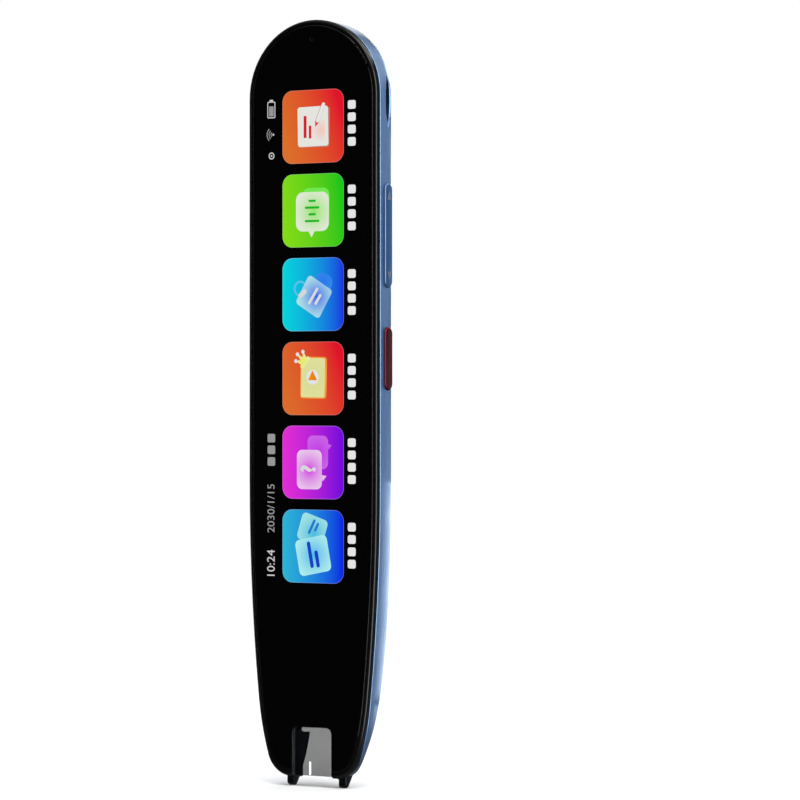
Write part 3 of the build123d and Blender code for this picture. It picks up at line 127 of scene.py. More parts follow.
class Bench:
    """The few moves of a modelling bench, each made with Blender's own operators.

    Attributes:
        CORNER_STEPS: Segments in a plate's rounded corner.
        BLUNT_STEPS: Segments in a triangle's blunted corner.
        BLUNT: Share of a triangle's lesser size that its corners lose.
        ROUND_STEPS: Sides of a round plate.
        SWEEP_STEPS: Steps in a ring or an arc.
        SLIVER: Share of a band's stroke that its first edge is wide, before it is thinned.
        CLOSING: Share of a band's stroke within which a full ring's ends join.
    """

    CORNER_STEPS = 8
    BLUNT_STEPS = 4
    BLUNT = 0.12
    ROUND_STEPS = 32
    SWEEP_STEPS = 40
    SLIVER = 0.01
    CLOSING = 0.05

    @staticmethod
    def clear() -> None:
        """Leave edit mode and deselect everything."""
        if bpy.context.object and bpy.context.object.mode != "OBJECT":
            bpy.ops.object.mode_set(mode="OBJECT")
        bpy.ops.object.select_all(action="DESELECT")

    @staticmethod
    def take(obj: bpy.types.Object) -> bpy.types.Object:
        """Make one object the selected and active one.

        Args:
            obj: The object to work on.

        Returns:
            The same object.
        """
        Bench.clear()
        obj.select_set(True)
        bpy.context.view_layer.objects.active = obj
        return obj

    @staticmethod
    def settle(obj: bpy.types.Object, place: Matrix | None = None) -> bpy.types.Object:
        """Put an object's place, turn and size into its mesh, after moving it if asked.

        Args:
            obj: The object to move.
            place: Where its own origin goes, or None to leave it.

        Returns:
            The same object.
        """
        if place is not None:
            obj.matrix_world = place @ obj.matrix_world
        Bench.take(obj)
        bpy.ops.object.transform_apply(location=True, rotation=True, scale=True)
        return obj

    @staticmethod
    @contextmanager
    def editing(obj: bpy.types.Object, mode: str = "FACE") -> Iterator[bmesh.types.BMesh]:
        """Open an object in edit mode with nothing selected, and close it again.

        Args:
            obj: The object to open.
            mode: What is selected: VERT, EDGE or FACE.

        Yields:
            The open mesh.
        """
        Bench.take(obj)
        bpy.ops.object.mode_set(mode="EDIT")
        bpy.ops.mesh.select_mode(type=mode)
        bpy.ops.mesh.select_all(action="DESELECT")
        yield bmesh.from_edit_mesh(obj.data)
        bpy.ops.object.mode_set(mode="OBJECT")

    @staticmethod
    def pick(
        obj: bpy.types.Object, parts: Sequence[MeshPart], wanted: Callable[[MeshPart], bool]
    ) -> None:
        """Select those verts, edges or faces of an open mesh that answer to a test.

        Args:
            obj: The open object.
            parts: Its verts, edges or faces.
            wanted: The test.
        """
        for part in parts:
            part.select_set(bool(wanted(part)))
        bmesh.update_edit_mesh(obj.data)

    @staticmethod
    def paint(
        obj: bpy.types.Object, finish: str, wanted: Callable[[bmesh.types.BMFace], bool]
    ) -> None:
        """Give those faces that answer to a test a second finish.

        Args:
            obj: The object to paint.
            finish: Name of the finish.
            wanted: The test of a face.
        """
        obj.data.materials.append(material(finish))
        with Bench.editing(obj) as mesh:
            Bench.pick(obj, mesh.faces, wanted)
            obj.active_material_index = len(obj.data.materials) - 1
            bpy.ops.object.material_slot_assign()

    @staticmethod
    def thicken(obj: bpy.types.Object, thickness: float) -> None:
        """Give a flat piece in its own plane a thickness, downwards.

        Args:
            obj: A flat piece at height 0.
            thickness: How far it goes down, in metres.
        """
        with Bench.editing(obj):
            bpy.ops.mesh.select_all(action="SELECT")
            bpy.ops.mesh.extrude_region_move(TRANSFORM_OT_translate={"value": (0, 0, -thickness)})
            bpy.ops.mesh.select_all(action="SELECT")
            bpy.ops.mesh.normals_make_consistent(inside=False)

    @staticmethod
    def plate(size: Pair, radius: float, thickness: float) -> bpy.types.Object:
        """A flat plate with rounded corners, its top at height 0, in metres.

        Args:
            size: Width and height.
            radius: Of the corners, or 0.
            thickness: How far it goes down.

        Returns:
            The plate.
        """
        Bench.clear()
        bpy.ops.mesh.primitive_plane_add(size=1)
        obj = bpy.context.object
        obj.scale = (*size, 1)
        Bench.settle(obj)
        if radius > 0:
            with Bench.editing(obj, "VERT"):
                bpy.ops.mesh.select_all(action="SELECT")
                bpy.ops.mesh.bevel(offset=radius, segments=Bench.CORNER_STEPS, affect="VERTICES")
        Bench.thicken(obj, thickness)
        return obj

    @staticmethod
    def wedge(size: Pair, thickness: float) -> bpy.types.Object:
        """A flat triangle that points up, its corners a little blunted.

        Args:
            size: Width and height, in metres.
            thickness: How far it goes down.

        Returns:
            The triangle.
        """
        Bench.clear()
        bpy.ops.mesh.primitive_circle_add(vertices=3, radius=1, fill_type="NGON")
        obj = bpy.context.object
        obj.scale = (size[0] / math.sqrt(3), size[1] / 1.5, 1)
        Bench.settle(obj)
        with Bench.editing(obj, "VERT"):
            bpy.ops.mesh.select_all(action="SELECT")
            offset = min(size) * Bench.BLUNT
            bpy.ops.mesh.bevel(offset=offset, segments=Bench.BLUNT_STEPS, affect="VERTICES")
        Bench.thicken(obj, thickness)
        return obj

    @staticmethod
    def band(radius: float, stroke: float, sweep: Pair, thickness: float) -> bpy.types.Object:
        """A flat ring or arc of a given stroke, between two angles in degrees.

        Args:
            radius: To the middle of the stroke, in metres.
            stroke: Width of the band, in metres.
            sweep: Where it starts and ends, in degrees.
            thickness: How far it goes down, in metres.

        Returns:
            The band.
        """
        Bench.clear()
        bpy.ops.mesh.primitive_plane_add(size=1, location=(radius, 0, 0))
        obj = bpy.context.object
        obj.scale = (stroke, stroke * Bench.SLIVER, 1)
        Bench.settle(obj)
        start, end = sweep
        Bench.settle(obj, Matrix.Rotation(math.radians(start), 4, "Z"))
        full = abs(end - start) >= 360
        with Bench.editing(obj, "EDGE"):
            bpy.ops.mesh.select_all(action="SELECT")
            bpy.ops.mesh.delete(type="ONLY_FACE")
            mesh = bmesh.from_edit_mesh(obj.data)
            turned = Matrix.Rotation(math.radians(-start), 4, "Z")
            middle = min((turned @ v.co).y for v in mesh.verts) + stroke * Bench.SLIVER / 2
            Bench.pick(obj, mesh.verts, lambda vert: (turned @ vert.co).y > middle)
            bpy.ops.mesh.delete(type="VERT")
            bpy.ops.mesh.select_all(action="SELECT")
            angle = math.radians(end - start)
            bpy.ops.mesh.spin(
                steps=Bench.SWEEP_STEPS, angle=angle, center=(0, 0, 0), axis=(0, 0, -1)
            )
            if full:
                bpy.ops.mesh.select_all(action="SELECT")
                bpy.ops.mesh.remove_doubles(threshold=stroke * Bench.CLOSING)
        Bench.thicken(obj, thickness)
        return obj

    @staticmethod
    def disc(radius: float, thickness: float) -> bpy.types.Object:
        """A flat round plate.

        Args:
            radius: In metres.
            thickness: How far it goes down, in metres.

        Returns:
            The disc.
        """
        Bench.clear()
        bpy.ops.mesh.primitive_circle_add(
            vertices=Bench.ROUND_STEPS, radius=radius, fill_type="NGON"
        )
        obj = bpy.context.object
        Bench.thicken(obj, thickness)
        return obj

    @staticmethod
    def join(pieces: Sequence[bpy.types.Object], name: str) -> bpy.types.Object:
        """Make one object of several, which keep their materials.

        Args:
            pieces: The objects to join.
            name: What the joined object is called.

        Returns:
            The joined object.
        """
        Bench.take(pieces[0])
        for piece in pieces:
            piece.select_set(True)
        bpy.ops.object.join()
        pieces[0].name = name
        return pieces[0]

    @staticmethod
    def copy_node(name: str, new_name: str) -> bpy.types.Object:
        """A copy of a CAD node, its faces welded and smoothed, to shape further.

        Args:
            name: The node's name.
            new_name: What the copy is called.

        Returns:
            The copy, without a finish.
        """
        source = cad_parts[name]
        obj = bpy.data.objects.new(new_name, source.data.copy())
        bpy.context.scene.collection.objects.link(obj)
        obj.data.materials.clear()
        Bench.weld(obj)
        return obj

    @staticmethod
    def weld(obj: bpy.types.Object, sharp: float = 25.0, reach: float = 0.000001) -> None:
        """Join a CAD mesh's faces where they meet, smooth up to an angle in degrees.

        Args:
            obj: The object to smooth.
            sharp: Edges turned more than this stay sharp.
            reach: Points nearer than this are one, in metres.
        """
        obj.data.polygons.foreach_set("use_smooth", [True] * len(obj.data.polygons))
        weld = obj.modifiers.new("weld", "WELD")
        weld.merge_threshold = reach
        split = obj.modifiers.new("edges", "EDGE_SPLIT")
        split.split_angle = math.radians(sharp)

    @staticmethod
    def smooth(obj: bpy.types.Object, angle: float = 25.0) -> bpy.types.Object:
        """Shade a mesh smooth, with edges sharper than an angle kept.

        Args:
            obj: The object to smooth.
            angle: Edges turned more than this stay sharp.

        Returns:
            The same object.
        """
        Bench.take(obj)
        bpy.ops.object.shade_smooth_by_angle(angle=math.radians(angle))
        return obj


# ---- materials ------------------------------------------------------------------------------
class Wiring:
    """Places and joins the nodes of one shader tree."""

    def __init__(self, tree: bpy.types.NodeTree) -> None:
        """Keep the tree and empty it."""
        self.tree = tree
        tree.nodes.clear()

    def node(
        self, kind: str, inputs: dict[str | int, Value] | None = None, **settings: object
    ) -> bpy.types.Node:
        """Add a node.

        Args:
            kind: Blender's name of the node, after ShaderNode.
            inputs: Values or sockets by input name or number.
            **settings: The node's own settings.

        Returns:
            The node.
        """
        made = self.tree.nodes.new(kind if kind.startswith("NodeGroup") else "ShaderNode" + kind)
        for name, value in settings.items():
            setattr(made, name, value)
        for name, value in (inputs or {}).items():
            self.feed(made, name, value)
        return made

    def feed(self, made: bpy.types.Node, name: str | int, value: Value) -> None:
        """Link a socket to an input, or set the input's value.

        Args:
            made: The node.
            name: The input's name or number.
            value: What it gets.
        """
        if isinstance(value, Socket):
            self.tree.links.new(value, made.inputs[name])
        else:
            made.inputs[name].default_value = value

    def math(self, operation: str, *values: Value) -> Socket:
        """Work out one number from numbers or sockets."""
        return self.node("Math", dict(enumerate(values)), operation=operation).outputs[0]

    def vector(self, operation: str, *values: Value) -> bpy.types.Node:
        """Work out one vector or number from vectors."""
        return self.node("VectorMath", dict(enumerate(values)), operation=operation)

    def span(
        self, value: Value, low: float, high: float, to_low: float = 0.0, to_high: float = 1.0
    ) -> Socket:
        """Carry a value from one range to another, held at its ends."""
        ranges = {"From Min": low, "From Max": high, "To Min": to_low, "To Max": to_high}
        return self.node("MapRange", {"Value": value, **ranges}).outputs["Result"]

    def mix(self, factor: Value, first: Value, second: Value) -> Socket:
        """Mix two colours.

        Args:
            factor: Share of the second colour.
            first: The first colour.
            second: The second colour.

        Returns:
            The mixed colour.
        """
        made = self.node("Mix", data_type="RGBA")
        for name, value in ((0, factor), (6, first), (7, second)):
            self.feed(made, name, value)
        return made.outputs[2]

    def place(
        self, scale: Triple = (1.0, 1.0, 1.0), shift: Triple = (0.0, 0.0, 0.0),
        turn: Triple = (0.0, 0.0, 0.0),
    ) -> Socket:
        """The place on the piece, moved, turned and then scaled.

        Args:
            scale: How much finer the pattern is each way.
            shift: Metres that it moves.
            turn: Radians that it turns.

        Returns:
            The place's socket.
        """
        here = self.node("TexCoord").outputs["Object"]
        moves = {"Vector": here, "Location": shift, "Rotation": turn, "Scale": scale}
        return self.node("Mapping", moves).outputs[0]

    def noise(self, place: Socket, scale: Value, detail: float = 2.0, **inputs: Value) -> Socket:
        """A soft random pattern."""
        values = {"Vector": place, "Scale": scale, "Detail": detail, **inputs}
        return self.node("TexNoise", values).outputs["Fac"]


def open_group(
    name: str, inputs: dict[str, float], output: str
) -> tuple[Wiring, Mapping[str, Socket], Callable[[Socket], None]]:
    """Make an empty shader node group with named numbers in and one out.

    Args:
        name: The group's name.
        inputs: Each input's name and its value if nothing is linked.
        output: The output's name.

    Returns:
        The wiring, the inputs' sockets and a function that feeds the output.
    """
    tree = bpy.data.node_groups.new(name, "ShaderNodeTree")
    wiring = Wiring(tree)
    for socket, value in inputs.items():
        made = tree.interface.new_socket(socket, in_out="INPUT", socket_type="NodeSocketFloat")
        made.default_value = value
    tree.interface.new_socket(output, in_out="OUTPUT", socket_type="NodeSocketFloat")
    given = wiring.node("NodeGroupInput").outputs
    out = wiring.node("NodeGroupOutput")
    return wiring, given, lambda socket: tree.links.new(socket, out.inputs[output])


class Effects:
    """The node groups that several finishes share, each built once.

    Attributes:
        STREAKS: How fine the streaks left by hands are each way, per metre.
        BREAKS: How finely an edge line is broken up, per metre.
        TURN: Cosine of the turn at an edge where its line is full, and where it ends.
        PIXEL_EDGE: Where the line between pixels starts and is full, 0 being a pixel's middle.
        DRAWN_OUT: How the brushed lines are drawn out along the pen.
    """

    STREAKS = (900.0, 900.0, 60.0)
    BREAKS = 1500.0
    TURN = (0.75, 0.995)
    PIXEL_EDGE = (0.36, 0.48)
    DRAWN_OUT = (1.0, 1.0, 0.012)

    def __init__(self) -> None:
        """Build the groups."""
        self.grain = self.build_grain()
        self.handling = self.build_handling()
        self.edge = self.build_edge()
        self.pixels = self.build_pixels()
        self.brush = self.build_brush()
        self.weave = self.build_weave()

    @staticmethod
    def build_grain() -> bpy.types.NodeTree:
        """Fine moulded or blasted grain.

        Returns:
            The group.
        """
        inputs = {"Scale": 4000.0, "Contrast": 1.0}
        wiring, given, finish = open_group("fine_grain", inputs, "Height")
        noise = wiring.noise(wiring.place(), given["Scale"], detail=3.0, Roughness=0.6)
        lifted = wiring.math("MULTIPLY", wiring.math("SUBTRACT", noise, 0.5), given["Contrast"])
        finish(wiring.math("ADD", lifted, 0.5))
        return wiring.tree

    @staticmethod
    def build_handling() -> bpy.types.NodeTree:
        """Faint unevenness left by hands and polishing: soft patches and fine streaks.

        Returns:
            The group.
        """
        inputs = {"Patch Scale": 90.0, "Streaks": 0.4}
        wiring, given, finish = open_group("handling", inputs, "Value")
        patches = wiring.noise(wiring.place(), given["Patch Scale"], detail=4.0, Distortion=0.8)
        streaks = wiring.noise(wiring.place(Effects.STREAKS), 1.0)
        mixed = wiring.math("MULTIPLY", wiring.math("SUBTRACT", streaks, 0.5), given["Streaks"])
        finish(wiring.math("ADD", patches, mixed))
        return wiring.tree

    @staticmethod
    def build_edge() -> bpy.types.NodeTree:
        """A mask that is 1 along outer edges, broken up a little, where finishes paint an edge
        highlight.

        Returns:
            The group.
        """
        inputs = {"Radius": 0.0002, "Break": 0.3}
        wiring, given, finish = open_group("edge_line", inputs, "Mask")
        rounded = wiring.node("Bevel", {"Radius": given["Radius"]}, samples=4).outputs[0]
        flat = wiring.node("NewGeometry").outputs["Normal"]
        turn = wiring.vector("DOT_PRODUCT", rounded, flat).outputs["Value"]
        mask = wiring.span(turn, *Effects.TURN, to_low=1.0, to_high=0.0)
        noise = wiring.noise(wiring.place(), Effects.BREAKS)
        broken = wiring.math("MULTIPLY", noise, given["Break"])
        finish(wiring.math("MULTIPLY", mask, wiring.math("SUBTRACT", 1.0, broken)))
        return wiring.tree

    @staticmethod
    def build_pixels() -> bpy.types.NodeTree:
        """The fine square grid of a lit display, seen face on.

        Returns:
            The group.
        """
        inputs = {"Pitch": 0.00006, "Depth": 0.2}
        wiring, given, finish = open_group("pixel_grid", inputs, "Value")
        parts = wiring.node("SeparateXYZ", {0: wiring.place()}).outputs
        lines = []
        for axis in ("X", "Z"):
            step = wiring.math("DIVIDE", parts[axis], given["Pitch"])
            near = wiring.math("ABSOLUTE", wiring.math("SUBTRACT", wiring.math("FRACT", step), 0.5))
            lines.append(wiring.span(near, *Effects.PIXEL_EDGE))
        gap = wiring.math("MULTIPLY", wiring.math("MAXIMUM", *lines), given["Depth"])
        finish(wiring.math("SUBTRACT", 1.0, gap))
        return wiring.tree

    @staticmethod
    def build_brush() -> bpy.types.NodeTree:
        """Fine parallel lines of a brushed or drawn sheet, along the pen.

        Returns:
            The group.
        """
        inputs = {"Fineness": 14000.0, "Depth": 1.0}
        wiring, given, finish = open_group("brushed_lines", inputs, "Value")
        lines = wiring.noise(wiring.place(Effects.DRAWN_OUT), given["Fineness"], detail=3.0)
        lifted = wiring.math("MULTIPLY", wiring.math("SUBTRACT", lines, 0.5), given["Depth"])
        finish(wiring.math("ADD", lifted, 0.5))
        return wiring.tree

    @staticmethod
    def build_weave() -> bpy.types.NodeTree:
        """A plain weave of round threads in the plane of the glass.

        Returns:
            The group.
        """
        wiring, given, finish = open_group("plain_weave", {"Pitch": 0.00016}, "Height")
        parts = wiring.node("SeparateXYZ", {0: wiring.place()}).outputs
        turns = [wiring.math("DIVIDE", parts[axis], given["Pitch"]) for axis in ("X", "Z")]
        angles = [wiring.math("MULTIPLY", turn, math.pi) for turn in turns]
        waves = [wiring.math("ABSOLUTE", wiring.math("SINE", angle)) for angle in angles]
        cells = [wiring.math("FLOOR", turn) for turn in turns]
        odd = wiring.math("MODULO", wiring.math("ABSOLUTE", wiring.math("ADD", *cells)), 2.0)
        over = wiring.math("MULTIPLY", waves[0], odd)
        under = wiring.math("MULTIPLY", waves[1], wiring.math("SUBTRACT", 1.0, odd))
        finish(wiring.math("ADD", over, under))
        return wiring.tree


def shaded(colour: Colour, share: float) -> Colour:
    """A colour at a share of its own strength."""
    return (*(c * share for c in colour[:3]), 1.0)


EFFECTS = Effects()
HANDLED = (0.3, 0.7)  # where most of the handling effect's values lie
LEAST_ROUGH = 0.01


@dataclass(frozen=True)
class Finish:
    """A moulded plastic surface, and the base of the other finishes.

    Attributes:
        name: The material's name.
        colour: Linear base colour.
        edge_colour: Colour that edges and high spots lean to: edge wear and a painted edge
            highlight.
        roughness: Mean roughness.
        metallic: Share of metal.
        coat: Weight of a clear coat.
        coat_roughness: Roughness of the coat.
        coat_ior: How strongly the coat bends and reflects light.
        specular: Strength of the plain reflection.
        grain_scale: Grains per metre.
        grain_depth: Height of the relief in metres.
        patchiness: How much the roughness changes over the surface.
        edge_strength: How far edges lean to the edge colour, the strength of the painted edge
            highlight.
        edge_radius: Width of the edge line in metres.
        round_edges: Radius in metres by which edges are rounded for the light, or 0.
        shade_spread: How much the colour changes over the surface.
        contrast: How strongly the grain stands out.
        patch_scale: How fine the patches left by hands are, per metre.
        streaks: How strongly fine streaks cross them.
        edge_break: How far the edge line is broken up.
    """

    name: str
    colour: Colour
    edge_colour: Colour = (0.05, 0.05, 0.052, 1)
    roughness: float = 0.4
    metallic: float = 0.0
    coat: float = 0.0
    coat_roughness: float = 0.05
    coat_ior: float = 1.5
    specular: float = 0.5
    grain_scale: float = 4000.0
    grain_depth: float = 0.000004
    patchiness: float = 0.04
    edge_strength: float = 0.3
    edge_radius: float = 0.0002
    round_edges: float = 0.00008
    shade_spread: float = 0.08
    contrast: float = 1.6
    patch_scale: float = 110.0
    streaks: float = 0.35
    edge_break: float = 0.35

    def material(self) -> bpy.types.Material:
        """Build the material.

        Returns:
            The material.
        """
        made = bpy.data.materials.new(self.name)
        made.use_nodes = True
        wiring = Wiring(made.node_tree)
        wiring.node("OutputMaterial", {"Surface": self.shade(wiring)})
        return made

    def effect(self, wiring: Wiring, tree: bpy.types.NodeTree, **values: float) -> Socket:
        """Place a shared effect with this finish's own values.

        Args:
            wiring: The material's wiring.
            tree: The effect.
            **values: Values by input name, with _ for a space.

        Returns:
            The effect's output.
        """
        made = wiring.node("Group", node_tree=tree)
        for socket, value in values.items():
            made.inputs[socket.replace("_", " ")].default_value = value
        return made.outputs[0]

    def tint(self, wiring: Wiring, handled: Socket) -> Socket:
        """The colour over the surface."""
        return wiring.mix(handled, shaded(self.colour, 1 - self.shade_spread), self.colour)

    def handled(self, wiring: Wiring) -> Socket:
        """The unevenness left by hands."""
        values = {"Patch_Scale": self.patch_scale, "Streaks": self.streaks}
        return self.effect(wiring, EFFECTS.handling, **values)

    def edge_wear_and_highlight(self, wiring: Wiring) -> Socket:
        """How far each place leans to the edge colour: edge wear and a painted edge highlight."""
        edge = self.effect(wiring, EFFECTS.edge, Radius=self.edge_radius, Break=self.edge_break)
        return wiring.math("MULTIPLY", edge, self.edge_strength)

    def relief(self, wiring: Wiring) -> Socket:
        """The height over the surface, from 0 to 1."""
        values = {"Scale": self.grain_scale, "Contrast": self.contrast}
        return self.effect(wiring, EFFECTS.grain, **values)

    def shade(self, wiring: Wiring) -> Socket:
        """Lay the nodes out.

        Args:
            wiring: The material's wiring.

        Returns:
            The shader's socket.
        """
        handled = self.handled(wiring)
        edge_wear_and_highlight = self.edge_wear_and_highlight(wiring)
        shade = wiring.mix(edge_wear_and_highlight, self.tint(wiring, handled), self.edge_colour)
        low, high = self.roughness - self.patchiness, self.roughness + self.patchiness
        rough = wiring.span(handled, *HANDLED, max(low, LEAST_ROUGH), high)
        relief = {"Height": self.relief(wiring), "Distance": self.grain_depth, "Strength": 1.0}
        bump = wiring.node("Bump", relief)
        if self.round_edges > 0:
            rounded = wiring.node("Bevel", {"Radius": self.round_edges}, samples=4)
            wiring.feed(bump, "Normal", rounded.outputs[0])
        values = {
            "Base Color": shade, "Roughness": rough, "Metallic": self.metallic,
            "Coat Weight": self.coat, "Coat Roughness": self.coat_roughness,
            "Coat IOR": self.coat_ior, "Specular IOR Level": self.specular,
            "Normal": bump.outputs[0],
        }
        return wiring.node("BsdfPrincipled", values).outputs[0]


@dataclass(frozen=True)
class FlakePaint(Finish):
    """Metallic paint: fine flakes, lighter and darker, under a thin satin lacquer.

    Attributes:
        flake_scale: Flakes per metre.
        flake_spread: How much lighter or darker a flake may be.
    """

    flake_scale: float = 14000.0
    flake_spread: float = 0.10

    def tint(self, wiring: Wiring, handled: Socket) -> Socket:
        """Each flake is a little lighter or darker than the next.

        Args:
            wiring: The material's wiring.
            handled: The unevenness left by hands; not used.

        Returns:
            The colour's socket.
        """
        flakes = wiring.node("TexVoronoi", {"Vector": wiring.place(), "Scale": self.flake_scale})
        level = wiring.node("SeparateColor", {0: flakes.outputs["Color"]}).outputs[0]
        dark = shaded(self.colour, 1 - self.flake_spread)
        return wiring.mix(level, dark, shaded(self.colour, 1 + self.flake_spread))


@dataclass(frozen=True)
class Brushed(Finish):
    """Bare metal with fine lines along the pen.

    Attributes:
        line_depth: How strongly the lines stand out.
    """

    line_depth: float = 1.4

    def tint(self, wiring: Wiring, handled: Socket) -> Socket:
        """The lines change the colour a little, twice as much as patches do."""
        dark = shaded(self.colour, 1 - 2 * self.shade_spread)
        return wiring.mix(self.relief(wiring), dark, self.colour)

    def relief(self, wiring: Wiring) -> Socket:
        """The lines themselves."""
        return self.effect(wiring, EFFECTS.brush, Depth=self.line_depth)


@dataclass(frozen=True)
class Woven(Finish):
    """Fine cloth.

    Attributes:
        pitch: Metres from thread to thread.
        between: Share of the colour left between the threads, a painted shade.
    """

    pitch: float = 0.00016
    between: float = 0.25

    def tint(self, wiring: Wiring, handled: Socket) -> Socket:
        """Threads are lighter at their crowns and darker between them: painted shade."""
        return wiring.mix(self.relief(wiring), shaded(self.colour, self.between), self.colour)

    def relief(self, wiring: Wiring) -> Socket:
        """Round threads, over and under."""
        return self.effect(wiring, EFFECTS.weave, Pitch=self.pitch)


@dataclass(frozen=True)
class Foam(Finish):
    """Open-cell foam.

    Attributes:
        cell_scale: Cells per metre.
        pit: Distance from a cell's middle, in cells, at its pit's bottom and at its top.
    """

    cell_scale: float = 3500.0
    pit: Pair = (0.1, 0.6)

    def relief(self, wiring: Wiring) -> Socket:
        """Round pits."""
        pits = wiring.node("TexVoronoi", {"Vector": wiring.place(), "Scale": self.cell_scale})
        return wiring.span(pits.outputs["Distance"], *self.pit)


@dataclass(frozen=True)
class Crinkled(Finish):
    """Laminated foil with soft creases.

    Attributes:
        wide: How fine the wide creases are, per metre.
        wander: How far the wide creases wander.
        steep: How steep the wide creases are.
        fine: How fine the small creases are, per metre.
        fine_share: How high the small creases are.
    """

    wide: float = 260.0
    wander: float = 1.5
    steep: float = 3.0
    fine: float = 2200.0
    fine_share: float = 0.15

    def relief(self, wiring: Wiring) -> Socket:
        """Creases of two sizes.

        Args:
            wiring: The material's wiring.

        Returns:
            The height's socket.
        """
        wide = wiring.noise(wiring.place(), self.wide, detail=3.0, Distortion=self.wander)
        ridges = wiring.math("ABSOLUTE", wiring.math("SUBTRACT", wide, 0.5))
        small = wiring.noise(wiring.place(), self.fine)
        fine = wiring.math("MULTIPLY", small, self.fine_share)
        return wiring.math("ADD", wiring.math("MULTIPLY", ridges, self.steep), fine)


@dataclass(frozen=True)
class Traces(Finish):
    """A printed board or flat cable: tracks under a film.

    Attributes:
        track_colour: Colour of the tracks.
        track: The pattern's unit of length, and from track to track, in metres.
        turn: How the pattern is turned, in radians.
        run: Length of a track from one cross track to the next, in units.
        line: Width of a track's line, in units.
        blur: How soft a track's edge is.
    """

    track_colour: Colour = (0.02, 0.14, 0.06, 1)
    track: Pair = (0.0009, 0.00035)
    turn: Triple = (math.pi / 2, 0.0, 0.0)
    run: float = 1.9
    line: float = 0.06
    blur: float = 0.3

    def tracks(self, wiring: Wiring) -> Socket:
        """1 on the tracks and 0 between them.

        Args:
            wiring: The material's wiring.

        Returns:
            The mask's socket.
        """
        place = wiring.place((1 / self.track[0],) * 3, turn=self.turn)
        values = {
            "Vector": place, "Scale": 1.0, "Mortar Size": self.line, "Mortar Smooth": self.blur,
            "Brick Width": self.run, "Row Height": self.track[1] / self.track[0],
        }
        return wiring.node("TexBrick", values).outputs["Fac"]

    def tint(self, wiring: Wiring, handled: Socket) -> Socket:
        """Tracks show lighter through the film."""
        return wiring.mix(self.tracks(wiring), self.colour, self.track_colour)

    def relief(self, wiring: Wiring) -> Socket:
        """Tracks stand up a little."""
        return self.tracks(wiring)


@dataclass(frozen=True)
class ClearPlastic(Finish):
    """Smoke-tinted clear moulding: light goes through, and its edges catch it.

    Attributes:
        ior: How strongly it bends light.
        patch_scale: How fine the patches left by hands are, per metre.
        streaks: How strongly fine streaks cross them.
        edge_break: How far the edge line is broken up.
    """

    ior: float = 1.12
    patch_scale: float = 200.0
    streaks: float = 0.3
    edge_break: float = 0.1

    def shade(self, wiring: Wiring) -> Socket:
        """Lay the nodes out.

        Args:
            wiring: The material's wiring.

        Returns:
            The shader's socket.
        """
        handled = self.handled(wiring)
        shade = wiring.mix(self.edge_wear_and_highlight(wiring), self.colour, self.edge_colour)
        rough = wiring.span(handled, *HANDLED, 2 * LEAST_ROUGH, self.roughness)
        bump = wiring.node("Bump", {"Height": self.relief(wiring), "Distance": self.grain_depth})
        values = {
            "Base Color": shade, "Roughness": rough, "IOR": self.ior, "Transmission Weight": 1.0,
            "Normal": bump.outputs[0],
        }
        return wiring.node("BsdfPrincipled", values).outputs[0]


class Spread(Enum):
    """How a lit colour changes over a mark on the display."""

    ACROSS = "across"
    ROUND = "round"


@dataclass(frozen=True)
class Glow(Finish):
    """A lit part of the display: two colours that run into each other.

    Attributes:
        far_colour: The colour at the far end, or at the rim of a round spread.
        centre: Across and along of the spread's middle, in millimetres.
        reach: Half the spread's length, in millimetres.
        lean: Degrees by which a spread across leans.
        spread: Which way the colours change.
        unlit: The display's own colour under the light.
        pixel_depth: How much darker the lines between pixels are.
        roughness: Roughness of the display's face.
        specular: Strength of its plain reflection.
    """

    far_colour: Colour = (1, 1, 1, 1)
    centre: Pair = (0.0, 0.0)
    reach: float = 7.5
    lean: float = 0.0
    spread: Spread = Spread.ACROSS
    unlit: Colour = (0.001, 0.001, 0.001, 1)
    pixel_depth: float = 0.12
    roughness: float = 0.06
    specular: float = 0.3

    def shade(self, wiring: Wiring) -> Socket:
        """Lay the nodes out.

        Args:
            wiring: The material's wiring.

        Returns:
            The shader's socket.
        """
        middle = spot(self.centre[0], self.centre[1], 0)
        here = wiring.vector("SUBTRACT", wiring.place(), tuple(middle)).outputs[0]
        if self.spread is Spread.ROUND:
            flat = wiring.vector("MULTIPLY", here, (1, 0, 1)).outputs[0]
            share = wiring.span(wiring.vector("LENGTH", flat).outputs["Value"], 0, self.reach * MM)
        else:
            lean = math.radians(self.lean)
            way = (math.cos(lean), 0.0, math.sin(lean))
            run = wiring.vector("DOT_PRODUCT", here, way).outputs["Value"]
            share = wiring.span(run, -self.reach * MM, self.reach * MM)
        lit = wiring.mix(share, self.colour, self.far_colour)
        grid = self.effect(wiring, EFFECTS.pixels, Depth=self.pixel_depth)
        dim = wiring.mix(grid, (0, 0, 0, 1), lit)
        values = {
            "Base Color": self.unlit, "Roughness": self.roughness,
            "Specular IOR Level": self.specular, "Emission Color": dim, "Emission Strength": 1.0,
        }
        return wiring.node("BsdfPrincipled", values).outputs[0]
